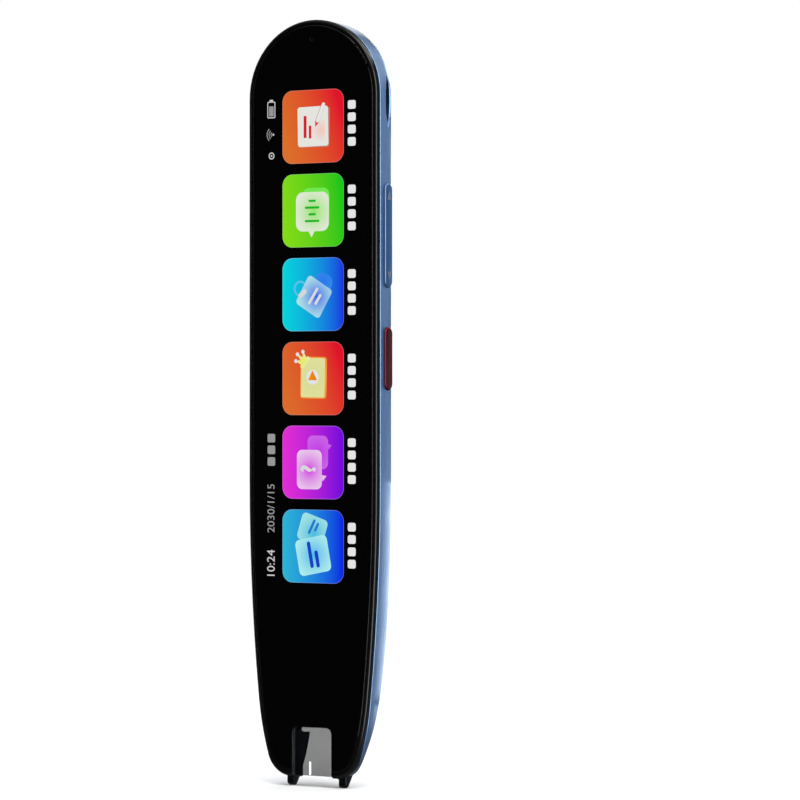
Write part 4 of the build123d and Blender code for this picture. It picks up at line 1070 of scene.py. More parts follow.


# Each finish's edge colour is lighter than its base: with edge_strength it paints a highlight along
# every edge, the bright rim lines of the keys included.
FINISHES: dict[str, Finish] = {
    f.name: f
    for f in (
        FlakePaint(
            "blue_shell", (0.215, 0.385, 0.67, 1), edge_colour=(0.52, 0.69, 0.95, 1),
            roughness=0.36, metallic=1.0, coat=0.8, coat_roughness=0.22, coat_ior=1.55,
            grain_scale=9000, grain_depth=1e-6, patchiness=0.02, edge_strength=0.8,
            edge_radius=0.00016, round_edges=0.00014,
        ),
        Finish(
            "shell_bare_and_shaded", (0.006, 0.007, 0.009, 1), edge_colour=(0.02, 0.02, 0.022, 1),
            roughness=0.5, specular=0.3, edge_strength=0.1, grain_depth=3e-6,
        ),
        Finish(
            "black_frame", (0.003, 0.003, 0.0035, 1), edge_colour=(0.006, 0.006, 0.006, 1),
            roughness=0.16, patchiness=0.03, grain_depth=1e-6,
        ),
        Finish(
            "cover_glass", (0.0003, 0.0003, 0.0004, 1), edge_colour=(0.0005, 0.0005, 0.0005, 1),
            roughness=0.03, patchiness=0.015, specular=0.5, grain_depth=0.0, round_edges=0.0002,
        ),
        ClearPlastic(
            "clear_window", (0.187, 0.187, 0.187, 1), edge_colour=(0.24, 0.24, 0.24, 1),
            roughness=0.06, grain_depth=4e-7, edge_radius=0.0003, edge_strength=0.6,
        ),
        Traces(
            "display", (0.006, 0.006, 0.008, 1), roughness=0.12,
            track_colour=(0.012, 0.012, 0.018, 1), track=(0.0006, 0.0006), grain_depth=1e-6,
        ),
        Brushed(
            "can_metal", (0.62, 0.62, 0.60, 1), edge_colour=(0.8, 0.8, 0.8, 1), roughness=0.33,
            metallic=1.0, grain_depth=1.5e-6,
        ),
        Brushed(
            "bright_trim", (0.52, 0.50, 0.475, 1), edge_colour=(0.8, 0.78, 0.75, 1), roughness=0.33,
            metallic=1.0, grain_depth=8e-7, shade_spread=0.05, edge_strength=0.5,
        ),
        Finish(
            "speaker_black", (0.009, 0.009, 0.0088, 1), edge_colour=(0.03, 0.03, 0.03, 1),
            roughness=0.42, specular=0.2, grain_scale=6000, grain_depth=3e-6, edge_radius=0.00012,
            edge_strength=0.6,
        ),
        Woven("dust_cloth", (0.09, 0.09, 0.09, 1), roughness=0.8, grain_depth=3e-5),
        Foam("black_foam", (0.02, 0.02, 0.02, 1), roughness=0.9, grain_depth=8e-5),
        Finish(
            "inner_plastic", (0.03, 0.03, 0.032, 1), roughness=0.5, grain_scale=3000,
            grain_depth=6e-6,
        ),
        Traces("circuit_board", (0.008, 0.06, 0.028, 1), roughness=0.33, grain_depth=1e-5),
        Finish(
            "chip_black", (0.02, 0.02, 0.022, 1), roughness=0.55, grain_scale=8000,
            grain_depth=4e-6,
        ),
        Brushed(
            "socket_steel", (0.55, 0.55, 0.56, 1), edge_colour=(0.75, 0.75, 0.75, 1), roughness=0.2,
            metallic=1.0, grain_depth=1e-6,
        ),
        Brushed(
            "screw_steel", (0.22, 0.22, 0.23, 1), edge_colour=(0.5, 0.5, 0.5, 1), roughness=0.33,
            metallic=1.0, grain_depth=1e-6,
        ),
        Crinkled(
            "battery_foil", (0.55, 0.55, 0.56, 1), edge_colour=(0.7, 0.7, 0.7, 1), roughness=0.34,
            metallic=1.0, grain_depth=6e-5,
        ),
        Traces(
            "flex_film", (0.30, 0.13, 0.025, 1), roughness=0.2, track_colour=(0.48, 0.24, 0.06, 1),
            track=(0.004, 0.0004), grain_depth=6e-6,
        ),
        FlakePaint(
            "blue_key", (0.23, 0.40, 0.72, 1), edge_colour=(0.9, 0.95, 1, 1), roughness=0.33,
            metallic=1.0, coat=0.3, coat_roughness=0.15, grain_scale=9000, grain_depth=1e-6,
            edge_strength=0.85, edge_radius=0.00016, round_edges=0.00012,
        ),
        Finish(
            "red_key", (0.31, 0.018, 0.02, 1), edge_colour=(1.0, 0.11, 0.1, 1), roughness=0.33,
            metallic=1.0, coat=0.2, coat_roughness=0.15, grain_scale=9000, grain_depth=1e-6,
            edge_strength=1.0, edge_radius=0.0003, round_edges=0.00012,
        ),
        Finish(
            "black_liner", (0.0025, 0.0025, 0.0025, 1), edge_colour=(0.02, 0.02, 0.02, 1),
            roughness=0.33, specular=0.2, grain_depth=2e-6, edge_strength=0.5, edge_radius=0.00015,
        ),
        Finish(
            "dark_cover", (0.002, 0.002, 0.003, 1), edge_colour=(0.004, 0.004, 0.006, 1),
            roughness=0.05, grain_depth=0.0,
        ),
        Finish(
            "tip_black", (0.003, 0.003, 0.0032, 1), edge_colour=(0.03, 0.03, 0.03, 1),
            roughness=0.33, specular=0.25, grain_depth=2e-6, edge_strength=0.6, edge_radius=0.00018,
        ),
        Brushed(
            "spring_steel", (0.6, 0.6, 0.6, 1), edge_colour=(0.8, 0.8, 0.8, 1), roughness=0.2,
            metallic=1.0, grain_depth=5e-7,
        ),
        Foam(
            "lamp_white", (0.85, 0.80, 0.45, 1), edge_colour=(0.9, 0.88, 0.7, 1), roughness=0.2,
            coat=0.8, cell_scale=9000, grain_depth=4e-6,
        ),
        Finish(
            "silver_mark", (0.62, 0.60, 0.56, 1), edge_colour=(0.8, 0.8, 0.78, 1), roughness=0.35,
            metallic=1.0, grain_depth=1e-6,
        ),
        # The aiming mark is paint, not a lamp: its white is made to glow, a painted light.
        Glow("glowing_white_mark", (4.4, 4.4, 4.4, 1), far_colour=(4.4, 4.4, 4.4, 1)),
        Finish(
            "grille_grey", (0.075, 0.075, 0.072, 1), edge_colour=(0.1, 0.1, 0.1, 1), roughness=0.4,
            edge_strength=0.0, round_edges=0.0,
        ),
    )
}
MATERIALS: dict[str, bpy.types.Material] = {}


def material(finish: Finish | str) -> bpy.types.Material:
    """A finish's material, built the first time it is asked for.

    Args:
        finish: The finish, or its name.

    Returns:
        The material.
    """
    made = FINISHES[finish] if isinstance(finish, str) else finish
    if made.name not in MATERIALS:
        MATERIALS[made.name] = made.material()
    return MATERIALS[made.name]


def dress(obj: bpy.types.Object, finish: Finish | str, body: str, slot: str) -> bpy.types.Object:
    """Give a finished piece its material and body, and report it with its slot.

    Args:
        obj: The finished piece.
        finish: The finish, or its name.
        body: The body it rides on.
        slot: The material slot it stands for.

    Returns:
        The same piece.
    """
    obj.data.materials.clear()
    obj.data.materials.append(material(finish))
    return hang(obj, body, slot)


def hang(obj: bpy.types.Object, body: str, slot: str) -> bpy.types.Object:
    """Let a finished piece ride on its body, and report it.

    Args:
        obj: The finished piece.
        body: The body it rides on.
        slot: The material slot it stands for.

    Returns:
        The same piece.
    """
    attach(obj, body)
    LOG.info("%s rides on %s as %s, %d faces", obj.name, body, slot, len(obj.data.polygons))
    return obj


# ---- the lit screen -------------------------------------------------------------------------
class Layer(Enum):
    """How deep the parts of the picture lie under the foremost surface, in millimetres."""

    RIM = 0.0375
    TILE = 0.03
    BACK = 0.0225
    CARD = 0.015
    SIGN = 0.0075
    TOP = 0.0


@dataclass
class Picture:
    """A group of flat lit marks round one place of the screen.

    Attributes:
        name: The piece's name.
        centre: Across and along of the group's middle, in millimetres.
        marks: The marks made so far.
        thickness: Thickness of a mark, in millimetres.
        text_turn: Degrees that numbers and signs are turned, to read up the screen.
    """

    name: str
    centre: Pair
    marks: list[bpy.types.Object] = field(default_factory=list)
    thickness: float = 0.006
    text_turn: float = 90.0

    def lay(
        self, obj: bpy.types.Object, glow: Glow, layer: Layer, at: Pair, turn: float = 0.0
    ) -> None:
        """Lay a flat mark on the screen.

        Args:
            obj: The flat mark.
            glow: Its light.
            layer: How deep it lies.
            at: Millimetres to the right of and above the group's middle.
            turn: Degrees that it turns.
        """
        middle = spot(self.centre[0] + at[0], self.centre[1] - at[1], layer.value)
        Bench.settle(obj, Facing.FRONT.place(middle, turn))
        obj.data.materials.append(material(glow))
        self.marks.append(obj)

    def plate(
        self, glow: Glow, layer: Layer, at: Pair, size: Pair, corner: float, turn: float = 0.0
    ) -> None:
        """A rounded rectangle of a width and a height."""
        made = Bench.plate((size[0] * MM, size[1] * MM), corner * MM, self.thickness * MM)
        self.lay(made, glow, layer, at, turn)

    def wedge(self, glow: Glow, layer: Layer, at: Pair, size: Pair, turn: float = 0.0) -> None:
        """A triangle that points up before it is turned."""
        made = Bench.wedge((size[0] * MM, size[1] * MM), self.thickness * MM)
        self.lay(made, glow, layer, at, turn)

    def disc(self, glow: Glow, layer: Layer, at: Pair, radius: float) -> None:
        """A round spot."""
        self.lay(Bench.disc(radius * MM, self.thickness * MM), glow, layer, at)

    def band(
        self, glow: Glow, layer: Layer, at: Pair, radius: float, stroke: float, sweep: Pair
    ) -> None:
        """A ring or an arc, between two angles in degrees."""
        made = Bench.band(radius * MM, stroke * MM, sweep, self.thickness * MM)
        self.lay(made, glow, layer, at)

    def words(
        self, glow: Glow, layer: Layer, text: str, at: Pair, height: float, bold: float = 0.0
    ) -> None:
        """Numbers or signs that read up the screen, centred on their place.

        Args:
            glow: Their light.
            layer: How deep they lie.
            text: The numbers or signs.
            at: Millimetres to the right of and above the group's middle.
            height: Height of a line, in millimetres.
            bold: How much thicker each stroke is, in millimetres.
        """
        Bench.clear()
        bpy.ops.object.text_add()
        obj = bpy.context.object
        obj.data.body = text
        obj.data.size = height * MM
        obj.data.offset = bold * MM
        obj.data.align_x = "CENTER"
        obj.data.align_y = "CENTER"
        bpy.ops.object.convert(target="MESH")
        obj = bpy.context.object
        Bench.thicken(obj, self.thickness * MM)
        self.lay(obj, glow, layer, at, self.text_turn)

    def finish(self) -> bpy.types.Object:
        """Join the marks into one piece on the housing."""
        return hang(Bench.join(self.marks, self.name), "housing", "display")


@dataclass
class Screen:
    """The lit picture under the cover glass: six tiles, their captions and a line of signs.

    Attributes:
        across: The tiles' middle, from the centre line, in millimetres.
        first: The first tile's middle, from the tail end.
        pitch: From tile to tile.
        tile: A tile's width and height.
        corner: A tile's corner radius.
        rim: Width of a tile's fine lighter rim.
        rim_keep: Share of the ground's colour that the rim keeps.
        rim_lift: How much the rim adds to it.
        tiles: How many tiles there are.
        caption_across: Where the blocks stand that take the words' place.
        block: A block's width and height.
        block_step: From block to block.
        block_corner: A block's corner radius.
        blocks: How many blocks stand beside a tile.
        block_shift: How far the blocks' middle is nearer the tail than the tile's.
        signs_across: Where the line of signs stands.
        charge_along: Where the sign of charge stands, from the tail end.
        radio_along: Where the arcs' middle stands.
        ring_along: Where the round mark stands.
        day_along: Where the three squares of the day stand.
        date_along: Where the date stands.
        clock_along: Where the time stands.
        white: The light of white marks.
        grey: The light of grey marks.
    """

    across: float = 0.35
    first: float = 22.3
    pitch: float = 17.5
    tile: float = 15.1
    corner: float = 2.3
    rim: float = 0.08
    rim_keep: float = 0.8
    rim_lift: float = 0.16
    tiles: int = 6
    caption_across: float = 9.95
    block: Pair = (1.95, 1.8)
    block_step: float = 2.55
    block_corner: float = 0.45
    blocks: int = 4
    block_shift: float = 0.35
    signs_across: float = -10.1
    charge_along: float = 18.45
    radio_along: float = 23.65
    ring_along: float = 28.1
    day_along: tuple[float, ...] = (87.3, 89.75, 92.2)
    date_along: float = 102.0
    clock_along: float = 113.7
    white: Glow = Glow("lit_white", srgb(205, 205, 205), far_colour=srgb(235, 235, 235), reach=12)
    grey: Glow = Glow("lit_grey", srgb(150, 150, 150), far_colour=srgb(175, 175, 175), reach=12)

    def middle(self, number: int) -> Pair:
        """Across and along of a tile's middle."""
        return self.across, self.first + self.pitch * number

    def tile_glow(self, number: int, left: Colour, right: Colour, lean: float) -> Glow:
        """The colours of a tile's ground."""
        middle = self.middle(number)
        return Glow(f"tile_{number + 1}", left, far_colour=right, centre=middle, lean=lean)

    def pale(self, colour: Colour) -> Colour:
        """A ground's colour as the fine rim round it shows it."""
        return (*(min(1.0, c * self.rim_keep + self.rim_lift) for c in colour[:3]), 1.0)

    def sign_glow(
        self, number: int, name: str, left: Colour, right: Colour, reach: float = 7.5
    ) -> Glow:
        """The colours of a small sign on a tile."""
        middle = self.middle(number)
        return Glow(f"tile_{number + 1}_{name}", left, far_colour=right, centre=middle, reach=reach)

    def card_glow(
        self, number: int, name: str, core: Colour, rim: Colour, offset: Pair, reach: float
    ) -> Glow:
        """The colours of a pale card, deeper in its middle.

        Args:
            number: Which tile, from 0.
            name: The card's own name.
            core: The colour in its middle.
            rim: The colour at its reach.
            offset: Its middle, right of and above the tile's middle.
            reach: Millimetres from the core to the rim.

        Returns:
            The light.
        """
        across, along = self.middle(number)
        centre = (across + offset[0], along - offset[1])
        return Glow(
            f"tile_{number + 1}_{name}", core, far_colour=rim, centre=centre, reach=reach,
            spread=Spread.ROUND,
        )

    def start(self, number: int, left: Colour, right: Colour, lean: float) -> Picture:
        """Begin a tile with its ground and its fine lighter rim.

        Args:
            number: Which tile, from 0.
            left: The ground's colour on the left.
            right: The ground's colour on the right.
            lean: Degrees that the change of colour leans.

        Returns:
            The picture, ready for its marks.
        """
        picture = Picture(f"screen_tile_{number + 1}", self.middle(number))
        name, middle = f"tile_{number + 1}_rim", self.middle(number)
        rim = Glow(name, self.pale(left), far_colour=self.pale(right), centre=middle, lean=lean)
        inner, outer = self.tile, self.tile + 2 * self.rim
        corner = self.corner + self.rim
        picture.plate(rim, Layer.RIM, at=(0, 0), size=(outer, outer), corner=corner)
        ground = self.tile_glow(number, left, right, lean)
        picture.plate(ground, Layer.TILE, at=(0, 0), size=(inner, inner), corner=self.corner)
        return picture

    def page_tile(self) -> bpy.types.Object:
        """A page with two lines and a pencil.

        Returns:
            The tile.
        """
        tile = self.start(0, srgb(223, 112, 42), srgb(226, 20, 42), 20)
        page = self.card_glow(0, "page", srgb(245, 200, 190), srgb(232, 232, 226), (2.0, -0.8), 2.6)
        red = self.sign_glow(0, "line", srgb(214, 20, 45), srgb(222, 30, 40))
        white = self.sign_glow(0, "pencil", srgb(250, 245, 240), srgb(225, 225, 222))
        shade = self.sign_glow(0, "shade", srgb(205, 150, 140), srgb(190, 120, 110))
        tile.plate(shade, Layer.BACK, at=(0.35, -0.15), size=(7.5, 8.3), corner=0.5, turn=-1)
        tile.plate(page, Layer.CARD, at=(0, 0), size=(7.6, 8.3), corner=0.6, turn=1)
        tile.plate(white, Layer.SIGN, at=(3.4, -0.1), size=(0.6, 8.0), corner=0.25)
        tile.plate(red, Layer.SIGN, at=(-1.95, -0.05), size=(0.72, 4.6), corner=0.1)
        tile.plate(red, Layer.SIGN, at=(-0.72, -1.15), size=(0.6, 2.7), corner=0.1)
        tile.plate(shade, Layer.SIGN, at=(1.72, 2.55), size=(0.95, 4.6), corner=0.45, turn=-24)
        tile.plate(white, Layer.TOP, at=(1.9, 2.85), size=(0.8, 4.4), corner=0.4, turn=-24)
        tile.wedge(red, Layer.TOP, at=(0.82, 0.42), size=(0.7, 0.9), turn=156)
        return tile.finish()

    def speech_tile(self) -> bpy.types.Object:
        """A speech bubble with four bars of sound.

        Returns:
            The tile.
        """
        tile = self.start(1, srgb(132, 222, 22), srgb(28, 200, 26), 8)
        back = self.card_glow(1, "back", srgb(110, 232, 70), srgb(120, 238, 90), (0.9, 2.4), 5)
        card = self.card_glow(1, "card", srgb(150, 232, 105), srgb(228, 236, 216), (0.2, -0.2), 4.6)
        bar = self.sign_glow(1, "bar", srgb(24, 176, 34), srgb(14, 190, 26), reach=3)
        tile.plate(back, Layer.BACK, at=(0.75, 0.9), size=(6.6, 7.6), corner=1.5)
        tile.plate(card, Layer.CARD, at=(-0.15, -0.25), size=(8.2, 8.2), corner=1.7)
        tile.wedge(card, Layer.CARD, at=(-0.35, -4.65), size=(1.7, 1.5), turn=180)
        for height, width in ((2.0, 1.8), (0.6, 3.6), (-0.8, 1.8), (-2.2, 3.6)):
            tile.plate(bar, Layer.SIGN, at=(-0.2, height), size=(width, 0.48), corner=0.2)
        return tile.finish()

    def card_tile(self) -> bpy.types.Object:
        """A tilted study card on a ring.

        Returns:
            The tile.
        """
        tile = self.start(2, srgb(0, 216, 222), srgb(24, 52, 226), 0)
        back = self.card_glow(2, "back", srgb(40, 120, 238), srgb(60, 150, 240), (2.6, 2.6), 4)
        ring = self.card_glow(2, "ring", srgb(90, 190, 236), srgb(110, 205, 238), (-3.2, 1.2), 4)
        card = self.card_glow(2, "card", srgb(48, 98, 236), srgb(176, 226, 232), (0.9, -0.5), 4.4)
        tile.plate(back, Layer.BACK, at=(2.6, 2.5), size=(4.4, 3.6), corner=1.6, turn=-20)
        tile.band(ring, Layer.BACK, at=(-3.15, 1.25), radius=1.45, stroke=0.4, sweep=(0, 360))
        tile.plate(card, Layer.CARD, at=(0.25, -0.5), size=(6.8, 6.8), corner=0.8, turn=-31)
        tile.plate(self.white, Layer.SIGN, at=(-2.6, 0.2), size=(2.3, 1.0), corner=0.5, turn=38)
        tile.plate(self.white, Layer.SIGN, at=(0.05, -0.35), size=(4.1, 0.62), corner=0.3, turn=56)
        tile.plate(self.white, Layer.SIGN, at=(1.25, -1.05), size=(2.6, 0.62), corner=0.3, turn=56)
        return tile.finish()

    def lesson_tile(self) -> bpy.types.Object:
        """A lit lesson card with a start sign and a small crown.

        Returns:
            The tile.
        """
        tile = self.start(3, srgb(223, 108, 42), srgb(226, 20, 42), 20)
        halo = self.card_glow(3, "halo", srgb(250, 210, 90), srgb(240, 140, 50), (0.1, 0.2), 5.2)
        card = self.card_glow(3, "card", srgb(216, 220, 150), srgb(230, 228, 160), (0, 0), 5)
        gold = self.card_glow(3, "gold", srgb(236, 236, 90), srgb(238, 240, 200), (-2.6, 3.6), 2.6)
        disc = self.card_glow(3, "disc", srgb(236, 236, 240), srgb(226, 226, 230), (0, 0.2), 2)
        play = self.sign_glow(3, "play", srgb(246, 150, 0), srgb(226, 120, 10), reach=1)
        tile.plate(halo, Layer.BACK, at=(0.15, 0.15), size=(6.5, 8.7), corner=0.6, turn=-1)
        tile.plate(card, Layer.CARD, at=(0, 0.15), size=(5.85, 8.2), corner=0.35, turn=-1)
        tile.disc(disc, Layer.SIGN, at=(-0.1, 0.25), radius=1.55)
        tile.wedge(play, Layer.TOP, at=(-0.1, 0.3), size=(2.3, 2.1))
        left, low, halfway = -1.7, 3.1, 0.55
        for turn, reach in ((18, 2.6), (48, 2.9), (78, 2.6)):
            way = math.radians(turn + 90)
            x, y = reach * math.cos(way), reach * math.sin(way)
            tile.disc(disc, Layer.TOP, at=(left + x, low + y), radius=0.42)
            ray = (left + halfway * x, low + halfway * y)
            tile.wedge(gold, Layer.SIGN, at=ray, size=(1.2, 2.3), turn=turn)
        tile.plate(gold, Layer.TOP, at=(-1.95, 3.35), size=(3.0, 0.8), corner=0.3, turn=48)
        return tile.finish()

    def answer_tile(self) -> bpy.types.Object:
        """Two speech bubbles, the nearer one with a question mark.

        Returns:
            The tile.
        """
        tile = self.start(4, srgb(230, 46, 216), srgb(112, 8, 222), 0)
        back = self.card_glow(4, "back", srgb(196, 50, 232), srgb(206, 104, 236), (1.2, 2.0), 4)
        card = self.card_glow(4, "card", srgb(214, 52, 226), srgb(238, 206, 240), (-0.9, -1.6), 4.6)
        tile.plate(back, Layer.BACK, at=(1.2, 2.1), size=(5.1, 7.0), corner=1.3)
        tile.wedge(back, Layer.BACK, at=(4.0, 3.4), size=(1.3, 1.0), turn=-70)
        tile.plate(card, Layer.CARD, at=(-0.9, -1.5), size=(6.2, 8.2), corner=1.3)
        tile.wedge(card, Layer.CARD, at=(2.55, -3.1), size=(1.5, 1.3), turn=-70)
        tile.words(self.white, Layer.SIGN, "?", at=(-1.0, -1.4), height=5.0, bold=0.14)
        return tile.finish()

    def translate_tile(self) -> bpy.types.Object:
        """Two overlapping word cards, each with lines for its words.

        Returns:
            The tile.
        """
        tile = self.start(5, srgb(44, 182, 216), srgb(6, 32, 228), 0)
        back = self.card_glow(5, "back", srgb(70, 190, 226), srgb(160, 228, 232), (0.2, 2.6), 4)
        card = self.card_glow(5, "card", srgb(80, 186, 236), srgb(176, 240, 240), (0.2, -1.8), 4.8)
        ink = self.sign_glow(5, "ink", srgb(22, 74, 200), srgb(14, 52, 190))
        soft = self.sign_glow(5, "soft", srgb(30, 110, 200), srgb(40, 130, 210))
        tile.plate(back, Layer.BACK, at=(-0.15, 3.5), size=(6.6, 5.8), corner=1.0, turn=-18)
        tile.plate(soft, Layer.CARD, at=(-0.3, 4.1), size=(3.4, 0.6), corner=0.3, turn=62)
        tile.plate(soft, Layer.CARD, at=(0.9, 4.0), size=(2.0, 0.6), corner=0.3, turn=62)
        tile.plate(card, Layer.SIGN, at=(0.05, -1.9), size=(8.0, 7.6), corner=1.1, turn=11)
        tile.plate(ink, Layer.TOP, at=(-0.65, -1.75), size=(5.6, 0.85), corner=0.42, turn=101)
        tile.plate(ink, Layer.TOP, at=(1.05, -2.6), size=(3.6, 0.85), corner=0.42, turn=101)
        return tile.finish()

    def captions(self) -> bpy.types.Object:
        """A row of short blocks beside each tile, where its words would stand.

        Returns:
            The row of blocks.
        """
        row = Picture("screen_captions", (self.caption_across, 0.0))
        for number in range(self.tiles):
            middle = self.first - self.block_shift + self.pitch * number
            for place in range(self.blocks):
                along = middle + (place - (self.blocks - 1) / 2) * self.block_step
                row.plate(self.white, Layer.TILE, (0, -along), self.block, self.block_corner)
        return row.finish()

    def signs(self) -> bpy.types.Object:
        """The line of signs: charge, radio, a round mark, the day, the date and the time.

        Returns:
            The line of signs.
        """
        line = Picture("screen_signs", (self.signs_across, 0.0))
        charge, radio, ring = -self.charge_along, -self.radio_along, -self.ring_along
        line.plate(self.white, Layer.TILE, at=(0, charge), size=(2.0, 3.5), corner=0.35)
        off = Glow("lit_off", srgb(2, 2, 2), far_colour=srgb(4, 4, 4))
        line.plate(off, Layer.BACK, at=(0, charge), size=(1.6, 3.1), corner=0.2)
        line.plate(self.grey, Layer.CARD, at=(0, charge - 0.3), size=(1.15, 2.1), corner=0.12)
        line.plate(self.white, Layer.TILE, at=(0, charge + 1.95), size=(0.9, 0.35), corner=0.12)
        arc, full = (132, 228), (0, 360)
        for radius in (0.62, 1.12, 1.62):
            line.band(self.grey, Layer.TILE, (0.55, radio), radius, stroke=0.2, sweep=arc)
        line.disc(self.white, Layer.TILE, at=(0.5, radio), radius=0.22)
        line.band(self.white, Layer.TILE, (0.05, ring), radius=0.62, stroke=0.22, sweep=full)
        line.disc(self.white, Layer.TILE, at=(0.05, ring), radius=0.2)
        for along in self.day_along:
            line.plate(self.grey, Layer.TILE, at=(0, -along), size=(1.9, 1.8), corner=0.35)
        line.words(self.grey, Layer.TILE, "2030/1/15", at=(0, -self.date_along), height=2.55)
        line.words(self.white, Layer.TILE, "10:24", at=(0, -self.clock_along), height=2.75)
        return line.finish()

    def build(self) -> None:
        """Make the whole picture."""
        self.page_tile()
        self.speech_tile()
        self.card_tile()
        self.lesson_tile()
        self.answer_tile()
        self.translate_tile()
        self.captions()
        self.signs()


# ---- the front ------------------------------------------------------------------------------
@dataclass
class Front:
    """The cover glass, let down a hair so that the lit picture lies flush with the frame.

    Attributes:
        glass_back: Depth of the glass's back, in millimetres.
        let_down: How far its face is let down.
        mark_across: Where the aiming mark stands.
        mark_along: Where it starts and ends.
        mark_width: Its width.
        mark_corner: Its corner radius.
        mark_thickness: Thickness of each of its two layers.
        mark_depths: Depth of its white and of its dark layer.
        sideways: Least share of a side's look that goes across.
    """

    glass_back: float = 0.8
    let_down: float = 0.05
    mark_across: float = -0.35
    mark_along: Pair = (154.7, 157.4)
    mark_width: float = 0.45
    mark_corner: float = 0.12
    mark_thickness: float = 0.03
    mark_depths: Pair = (0.02, 0.06)
    sideways: float = 0.7

    def build(self) -> None:
        """Make the glass and the window's aiming mark."""
        glass = Bench.copy_node("front_glass", "cover_glass")
        keep = (self.glass_back - self.let_down) / self.glass_back
        back = spot(0, 0, self.glass_back)
        glass.scale = (1, keep, 1)
        glass.location = (0, back.y * (1 - keep), 0)
        Bench.settle(glass)
        dress(glass, "cover_glass", "housing", "cover_glass")
        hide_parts("front_glass")
        self.window()
        self.mark()

    def window(self) -> None:
        """The clear window, its two sides blackened where they sit in the glass's notch."""
        window = Bench.copy_node("scan_window", "clear_window")
        dress(window, "clear_window", "housing", "clear_window")
        Bench.paint(window, "black_frame", lambda face: abs(face.normal.x) > self.sideways)
        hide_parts("scan_window")

    def mark(self) -> None:
        """The short line that shows where the pen reads: white in front, glowing as painted light,
        dark behind.
        """
        start, end = self.mark_along
        size = (self.mark_width * MM, (end - start) * MM)
        pieces = []
        for finish, depth in zip(("glowing_white_mark", "black_liner"), self.mark_depths):
            line = Bench.plate(size, self.mark_corner * MM, self.mark_thickness * MM)
            Bench.settle(line, Facing.FRONT.place(spot(self.mark_across, (start + end) / 2, depth)))
            line.data.materials.append(material(finish))
            pieces.append(line)
        hang(Bench.join(pieces, "aiming_mark"), "housing", "lamp_white")


# ---- the side keys --------------------------------------------------------------------------
@dataclass
class SideKeys:
    """The rocker with its two small arrows.

    Attributes:
        face: Across to the rocker's face, in millimetres.
        root: Across to the place that stays where it is.
        let_down: How far the face is let down.
        depth: Depth of the keys' middle line.
        arrow_along: Where the two arrows stand.
        arrow: An arrow's width and height.
        arrow_thickness: An arrow's thickness.
    """

    face: float = 16.15
    root: float = 13.9
    let_down: float = 0.02
    depth: float = 4.8
    arrow_along: Pair = (37.3, 53.3)
    arrow: Pair = (1.25, 1.7)
    arrow_thickness: float = 0.03

    def build(self) -> None:
        """Make the rocker and its arrows."""
        rocker = Bench.copy_node("volume_rocker", "rocker_cap")
        keep = (self.face - self.let_down - self.root) / (self.face - self.root)
        rocker.scale = (keep, 1, 1)
        rocker.location = (self.root * MM * (1 - keep), 0, 0)
        Bench.settle(rocker)
        dress(rocker, "blue_key", "volume_key", "blue_key")
        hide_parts("volume_rocker")
        arrows = []
        for along, turn in zip(self.arrow_along, (0, 180)):
            size = (self.arrow[0] * MM, self.arrow[1] * MM)
            arrow = Bench.wedge(size, self.arrow_thickness * MM)
            place = Vector((self.face * MM, *spot(0, along, self.depth).yz))
            arrows.append(Bench.settle(arrow, Facing.KEYS.place(place, turn)))
            arrow.data.materials.append(material("silver_mark"))
        hang(Bench.join(arrows, "rocker_arrows"), "volume_key", "can_metal")


# ---- the speaker ----------------------------------------------------------------------------
@dataclass
class Speaker:
    """Small domes of the grille that show in the plate's sound holes.

    Attributes:
        along: The middle hole, from the tail end, in millimetres.
        pitch: From hole to hole, across and along.
        count: Holes each way.
        radius: A dome's radius.
        crown: Depth of a dome's top.
        height: A dome's height.
        cut: Metres above a ball's middle where the dome is cut off.
        sides: Segments round a dome.
        rings: Rings of a whole ball.
        soft: Degrees up to which a dome's edges are shaded smooth.
    """

    along: float = 19.7
    pitch: Pair = (2.24, 2.4)
    count: int = 5
    radius: float = 0.415
    crown: float = 13.28
    height: float = 0.3
    cut: float = 0.0001
    sides: int = 16
    rings: int = 8
    soft: float = 40.0

    def build(self) -> None:
        """Model one dome and set a copy in each hole."""
        Bench.clear()
        bpy.ops.mesh.primitive_uv_sphere_add(
            segments=self.sides, ring_count=self.rings, radius=self.radius * MM
        )
        first = bpy.context.object
        with Bench.editing(first):
            bpy.ops.mesh.select_all(action="SELECT")
            bpy.ops.mesh.bisect(
                plane_co=(0, 0, self.cut), plane_no=(0, 0, 1), clear_inner=True, use_fill=True
            )
        first.scale = (1, 1, self.height / self.radius)
        Bench.settle(first)
        domes = []
        middle = (self.count - 1) / 2
        for row in range(self.count):
            for column in range(self.count):
                dome = first.copy()
                dome.data = first.data.copy()
                bpy.context.scene.collection.objects.link(dome)
                across = (column - middle) * self.pitch[0]
                along = self.along + (row - middle) * self.pitch[1]
                place = spot(across, along, self.crown - self.height)
                domes.append(Bench.settle(dome, Facing.BACK.place(place)))
        bpy.data.objects.remove(first)
        domes = Bench.smooth(Bench.join(domes, "grille_domes"), self.soft)
        dress(domes, "grille_grey", "housing", "speaker_black")


# ---- the scanning tip -----------------------------------------------------------------------
@dataclass
class ScanTip:
    """The springs of the scanning tip.

    Attributes:
        anchor_along: Where the springs stand still, in millimetres; not used.
        depth: Depth of the springs' middle line; not used.
        keep: Share of their length left at the end of the travel; not used.
    """

    anchor_along: float = 130.2
    depth: float = 4.0
    keep: float = 0.76

    def build(self) -> None:
        """Make the springs from their solid."""
        springs = Bench.copy_node("tip_springs", "coil_springs")
        dress(springs, "spring_steel", "housing", "spring_steel")
        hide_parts("tip_springs")
        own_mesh(springs)


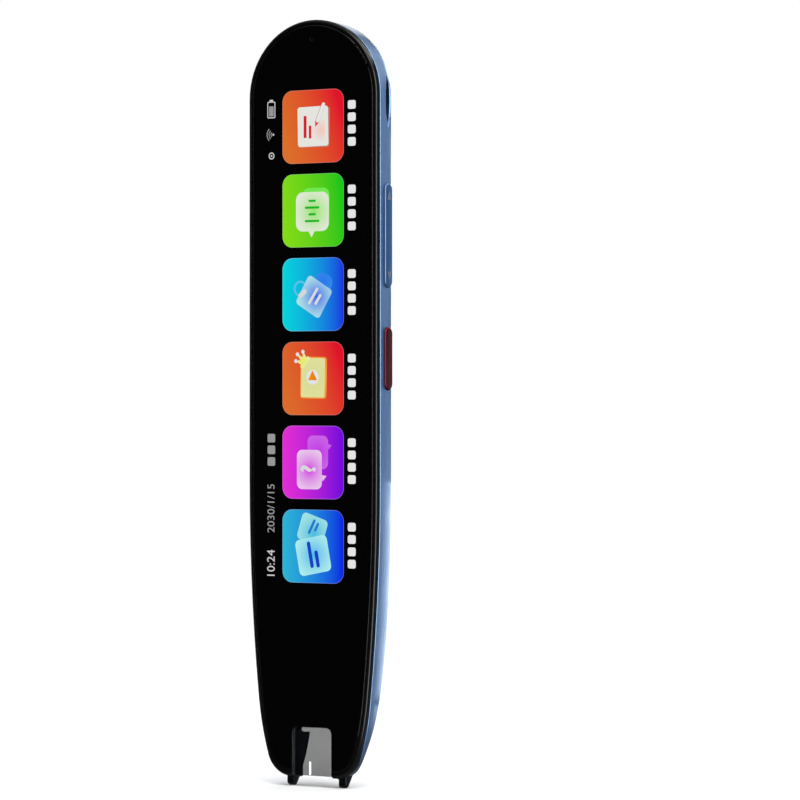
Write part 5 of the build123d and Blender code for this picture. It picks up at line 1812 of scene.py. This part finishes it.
# ---- the back -------------------------------------------------------------------------------
@dataclass
class PaintedShell:
    """The moulded back: painted outside and bare dark plastic inside; the walls of its openings get
    the same dark finish as painted shade.

    Attributes:
        lift: Metres off a face at which the look outwards starts.
        sight: Metres that the look outwards goes.
        inner_depth: Millimetres behind the glass from where faces that look forward are inside.
        eye_inner: Across, in millimetres, from where the lanyard eye's walls are painted too.
        eye_along: Where the lanyard eye starts and ends, in millimetres from the tail.
        forward: Share of a face's look, front to back, under which it looks forward.
    """

    lift: float = 0.00001
    sight: float = 0.05
    inner_depth: float = 2.2
    eye_inner: float = 14.5
    eye_along: Pair = (11.3, 24.1)
    forward: float = -0.2

    def is_bare_or_shaded(self, face: bmesh.types.BMFace, tree: BVHTree) -> bool:
        """Whether a face looks at the shell itself, which darkens it as painted shade, or lies
        inside the open tray.

        Args:
            face: The face.
            tree: All the faces of the shell.

        Returns:
            True for a bare face or one in painted shade.
        """
        centre, normal = face.calc_center_median(), face.normal
        head, foot = (spot(self.eye_inner, along, 0) for along in self.eye_along)
        if centre.x > head.x and foot.z < centre.z < head.z:
            return False
        # A face that looks at the shell itself, as in a slot or an opening, gets the dark finish:
        # painted shade.
        if tree.ray_cast(centre + normal * self.lift, normal, self.sight)[0] is not None:
            return True
        return normal.y < self.forward and centre.y > spot(0, 0, self.inner_depth).y

    def build(self) -> None:
        """Paint a copy of the shell's solid."""
        shell = Bench.copy_node("rear_shell", "painted_shell")
        dress(shell, "blue_shell", "housing", "blue_shell")
        with Bench.editing(shell) as mesh:
            tree = BVHTree.FromBMesh(mesh)
        Bench.paint(shell, "shell_bare_and_shaded", lambda face: self.is_bare_or_shaded(face, tree))
        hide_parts("rear_shell")


# ---- the carried-over solids ----------------------------------------------------------------
class Solids:
    """The pieces whose solid has the right shape: smoothed, and dressed by their slot."""

    def build(self) -> None:
        """Dress every node that is still shown."""
        for name, node in sorted(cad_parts.items()):
            if node.hide_render:
                continue
            slots = [m.name.split(".")[0] for m in node.data.materials if m]
            for number, slot in enumerate(slots):
                node.data.materials[number] = material(slot)
            Bench.weld(node)
            LOG.info("%s keeps its solid, dressed as %s", name, ", ".join(slots))


# ---- the studio -----------------------------------------------------------------------------
@dataclass(frozen=True)
class Softbox:
    """A soft lamp that faces the pen.

    Attributes:
        name: The lamp's name.
        azimuth: Degrees round the pen, 0 in front of the glass and 90 on the keys' side.
        elevation: Degrees above the horizon.
        distance: Metres from the pen.
        size: Width and height in metres.
        glow: How bright its face looks, 1 being white.
        mirrored: Whether shiny surfaces show it.
        tint: The colour of its light.
    """

    name: str
    azimuth: float
    elevation: float
    distance: float
    size: Pair
    glow: float
    mirrored: bool = True
    tint: Triple = (1.0, 1.0, 1.0)

    def build(self) -> bpy.types.Object:
        """Hang the lamp.

        Returns:
            The lamp.
        """
        lamp = bpy.data.lights.new(self.name, "AREA")
        lamp.color = self.tint
        lamp.shape = "RECTANGLE"
        lamp.size, lamp.size_y = self.size
        lamp.energy = self.glow * math.pi * self.size[0] * self.size[1]
        obj = bpy.data.objects.new(self.name, lamp)
        back = bearing(self.azimuth, self.elevation)
        obj.location = back * self.distance
        obj.rotation_mode = "QUATERNION"
        obj.rotation_quaternion = back.to_track_quat("Z", "Y")
        obj.visible_camera = False
        obj.visible_transmission = False
        obj.visible_glossy = self.mirrored
        bpy.context.scene.collection.objects.link(obj)
        return obj


def bearing(azimuth: float, elevation: float) -> Vector:
    """The direction from the pen to something seen round and above it.

    Args:
        azimuth: Degrees round the pen, 0 in front of the glass and 90 on the keys' side.
        elevation: Degrees above the horizon.

    Returns:
        The direction, of length 1.
    """
    turn, rise = math.radians(azimuth), math.radians(elevation)
    level = math.cos(rise)
    return Vector((math.sin(turn) * level, -math.cos(turn) * level, math.sin(rise)))


@dataclass(frozen=True)
class Studio:
    """The floor, the soft light and the camera.

    Attributes:
        azimuth: Degrees round the pen to the camera.
        distance: Metres from the pen to the camera.
        lens: Focal length in millimetres.
        aim_right: Metres that the camera aims to the right of the pen.
        aim_up: Metres that it aims above the middle.
        sensor: Sensor width in millimetres.
        floor_radius: In metres.
        floor_sides: Sides of the round floor.
        floor_colour: The floor's colour.
        fade: Where the floor starts and ends its fade, in metres.
        below: Two heights of a view under the floor's level, and the light's strength at each.
        above: Two heights of a view upwards, and the light's strength at each.
        softboxes: The lamps.
    """

    azimuth: float = 32.0
    distance: float = 0.780
    lens: float = 167.2
    aim_right: float = 0.01487
    aim_up: float = 0.0007
    sensor: float = 36.0
    floor_radius: float = 3.0
    floor_sides: int = 128
    floor_colour: Colour = (0.93, 0.93, 0.93, 1)
    fade: Pair = (0.12, 0.42)
    below: tuple[float, ...] = (-0.35, -0.15, 0.12, 0.02)
    above: tuple[float, ...] = (0.45, 0.95, 0.0, 0.45)
    softboxes: tuple[Softbox, ...] = (
        Softbox("key_back", 183.5, 4.5, 1.6, (0.92, 1.0), 4.2),
        Softbox("key_top", 150, 46, 1.6, (0.72, 0.68), 3.4),
        Softbox("back_flank", 213, 10, 1.7, (0.8, 1.5), 1.1),
        Softbox("front_right", 64, 5, 1.7, (0.88, 1.9), 3.5),
        Softbox("front_top", 50, 55, 1.7, (1.3, 1.1), 2.6),
        Softbox("fill_keys", 96, 10, 1.9, (0.5, 1.6), 0.55),
        Softbox("fill_wall", 151, 0, 1.9, (0.5, 1.7), 0.32, tint=(0.15, 0.5, 1.0)),
        Softbox("fill_far", 262, 10, 1.8, (1.6, 1.6), 0.34, tint=(0.75, 0.88, 1.0)),
        Softbox("overhead", 60, 88, 1.5, (2.2, 2.2), 1.7, mirrored=False),
    )

    def build(self) -> None:
        """Make the floor, the lamps, the background and the camera."""
        self.lay_floor()
        for box in self.softboxes:
            box.build()
        self.paint_background()
        self.set_camera()

    def lay_floor(self) -> None:
        """A plain pale floor that fades into the background."""
        Bench.clear()
        bpy.ops.mesh.primitive_circle_add(
            vertices=self.floor_sides, radius=self.floor_radius, fill_type="NGON",
            location=(0, 0, -HALF_LENGTH * MM),
        )
        floor = Bench.settle(bpy.context.object)
        floor.name = "floor"
        made = bpy.data.materials.new("pale_floor")
        made.use_nodes = True
        wiring = Wiring(made.node_tree)
        reach = wiring.vector("LENGTH", wiring.place()).outputs["Value"]
        fade = wiring.span(reach, *self.fade)
        paint = wiring.node("BsdfDiffuse", {"Color": self.floor_colour})
        clear = wiring.node("BsdfTransparent")
        mixed = wiring.node("MixShader", {0: fade, 1: paint.outputs[0], 2: clear.outputs[0]})
        wiring.node("OutputMaterial", {"Surface": mixed.outputs[0]})
        floor.data.materials.append(made)
        floor.visible_glossy = False

    def paint_background(self) -> None:
        """White to the camera, and to the rest dim above the floor's level and grey below it."""
        world = bpy.data.worlds.new("studio")
        bpy.context.scene.world = world
        world.use_nodes = True
        wiring = Wiring(world.node_tree)
        way = wiring.node("TexCoord").outputs["Generated"]
        height = wiring.node("SeparateXYZ", {0: way}).outputs["Z"]
        below = wiring.span(height, *self.below)
        above = wiring.span(height, *self.above)
        level = wiring.math("ADD", below, above)
        rays = wiring.node("LightPath").outputs
        seen = wiring.math("MAXIMUM", rays["Is Camera Ray"], rays["Is Transmission Ray"])
        dim = wiring.node("Background", {"Color": (1, 1, 1, 1), "Strength": level})
        white = wiring.node("Background", {"Color": (1, 1, 1, 1), "Strength": 1.0})
        mixed = wiring.node("MixShader", {0: seen, 1: dim.outputs[0], 2: white.outputs[0]})
        wiring.node("OutputWorld", {"Surface": mixed.outputs[0]})

    def set_camera(self) -> None:
        """Place the camera level with the pen's middle."""
        back = bearing(self.azimuth, 0)
        right = bearing(self.azimuth + 90, 0)
        aim = right * self.aim_right + Vector((0, 0, self.aim_up))
        data = bpy.data.cameras.new("camera")
        data.lens = self.lens
        data.sensor_width = self.sensor
        camera = bpy.data.objects.new("camera", data)
        camera.location = aim + back * self.distance
        camera.rotation_mode = "QUATERNION"
        camera.rotation_quaternion = back.to_track_quat("Z", "Y")
        bpy.context.scene.collection.objects.link(camera)
        bpy.context.scene.camera = camera


def main() -> None:
    """Build everything in order."""
    logging.basicConfig(level=logging.INFO, format="%(message)s")
    bpy.context.scene.view_settings.view_transform = "Standard"
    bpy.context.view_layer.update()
    Studio().build()
    for part in (Screen(), Front(), SideKeys(), Speaker(), ScanTip(), PaintedShell(), Solids()):
        LOG.info("%s:", type(part).__name__)
        part.build()


if __name__ == "__main__":
    main()
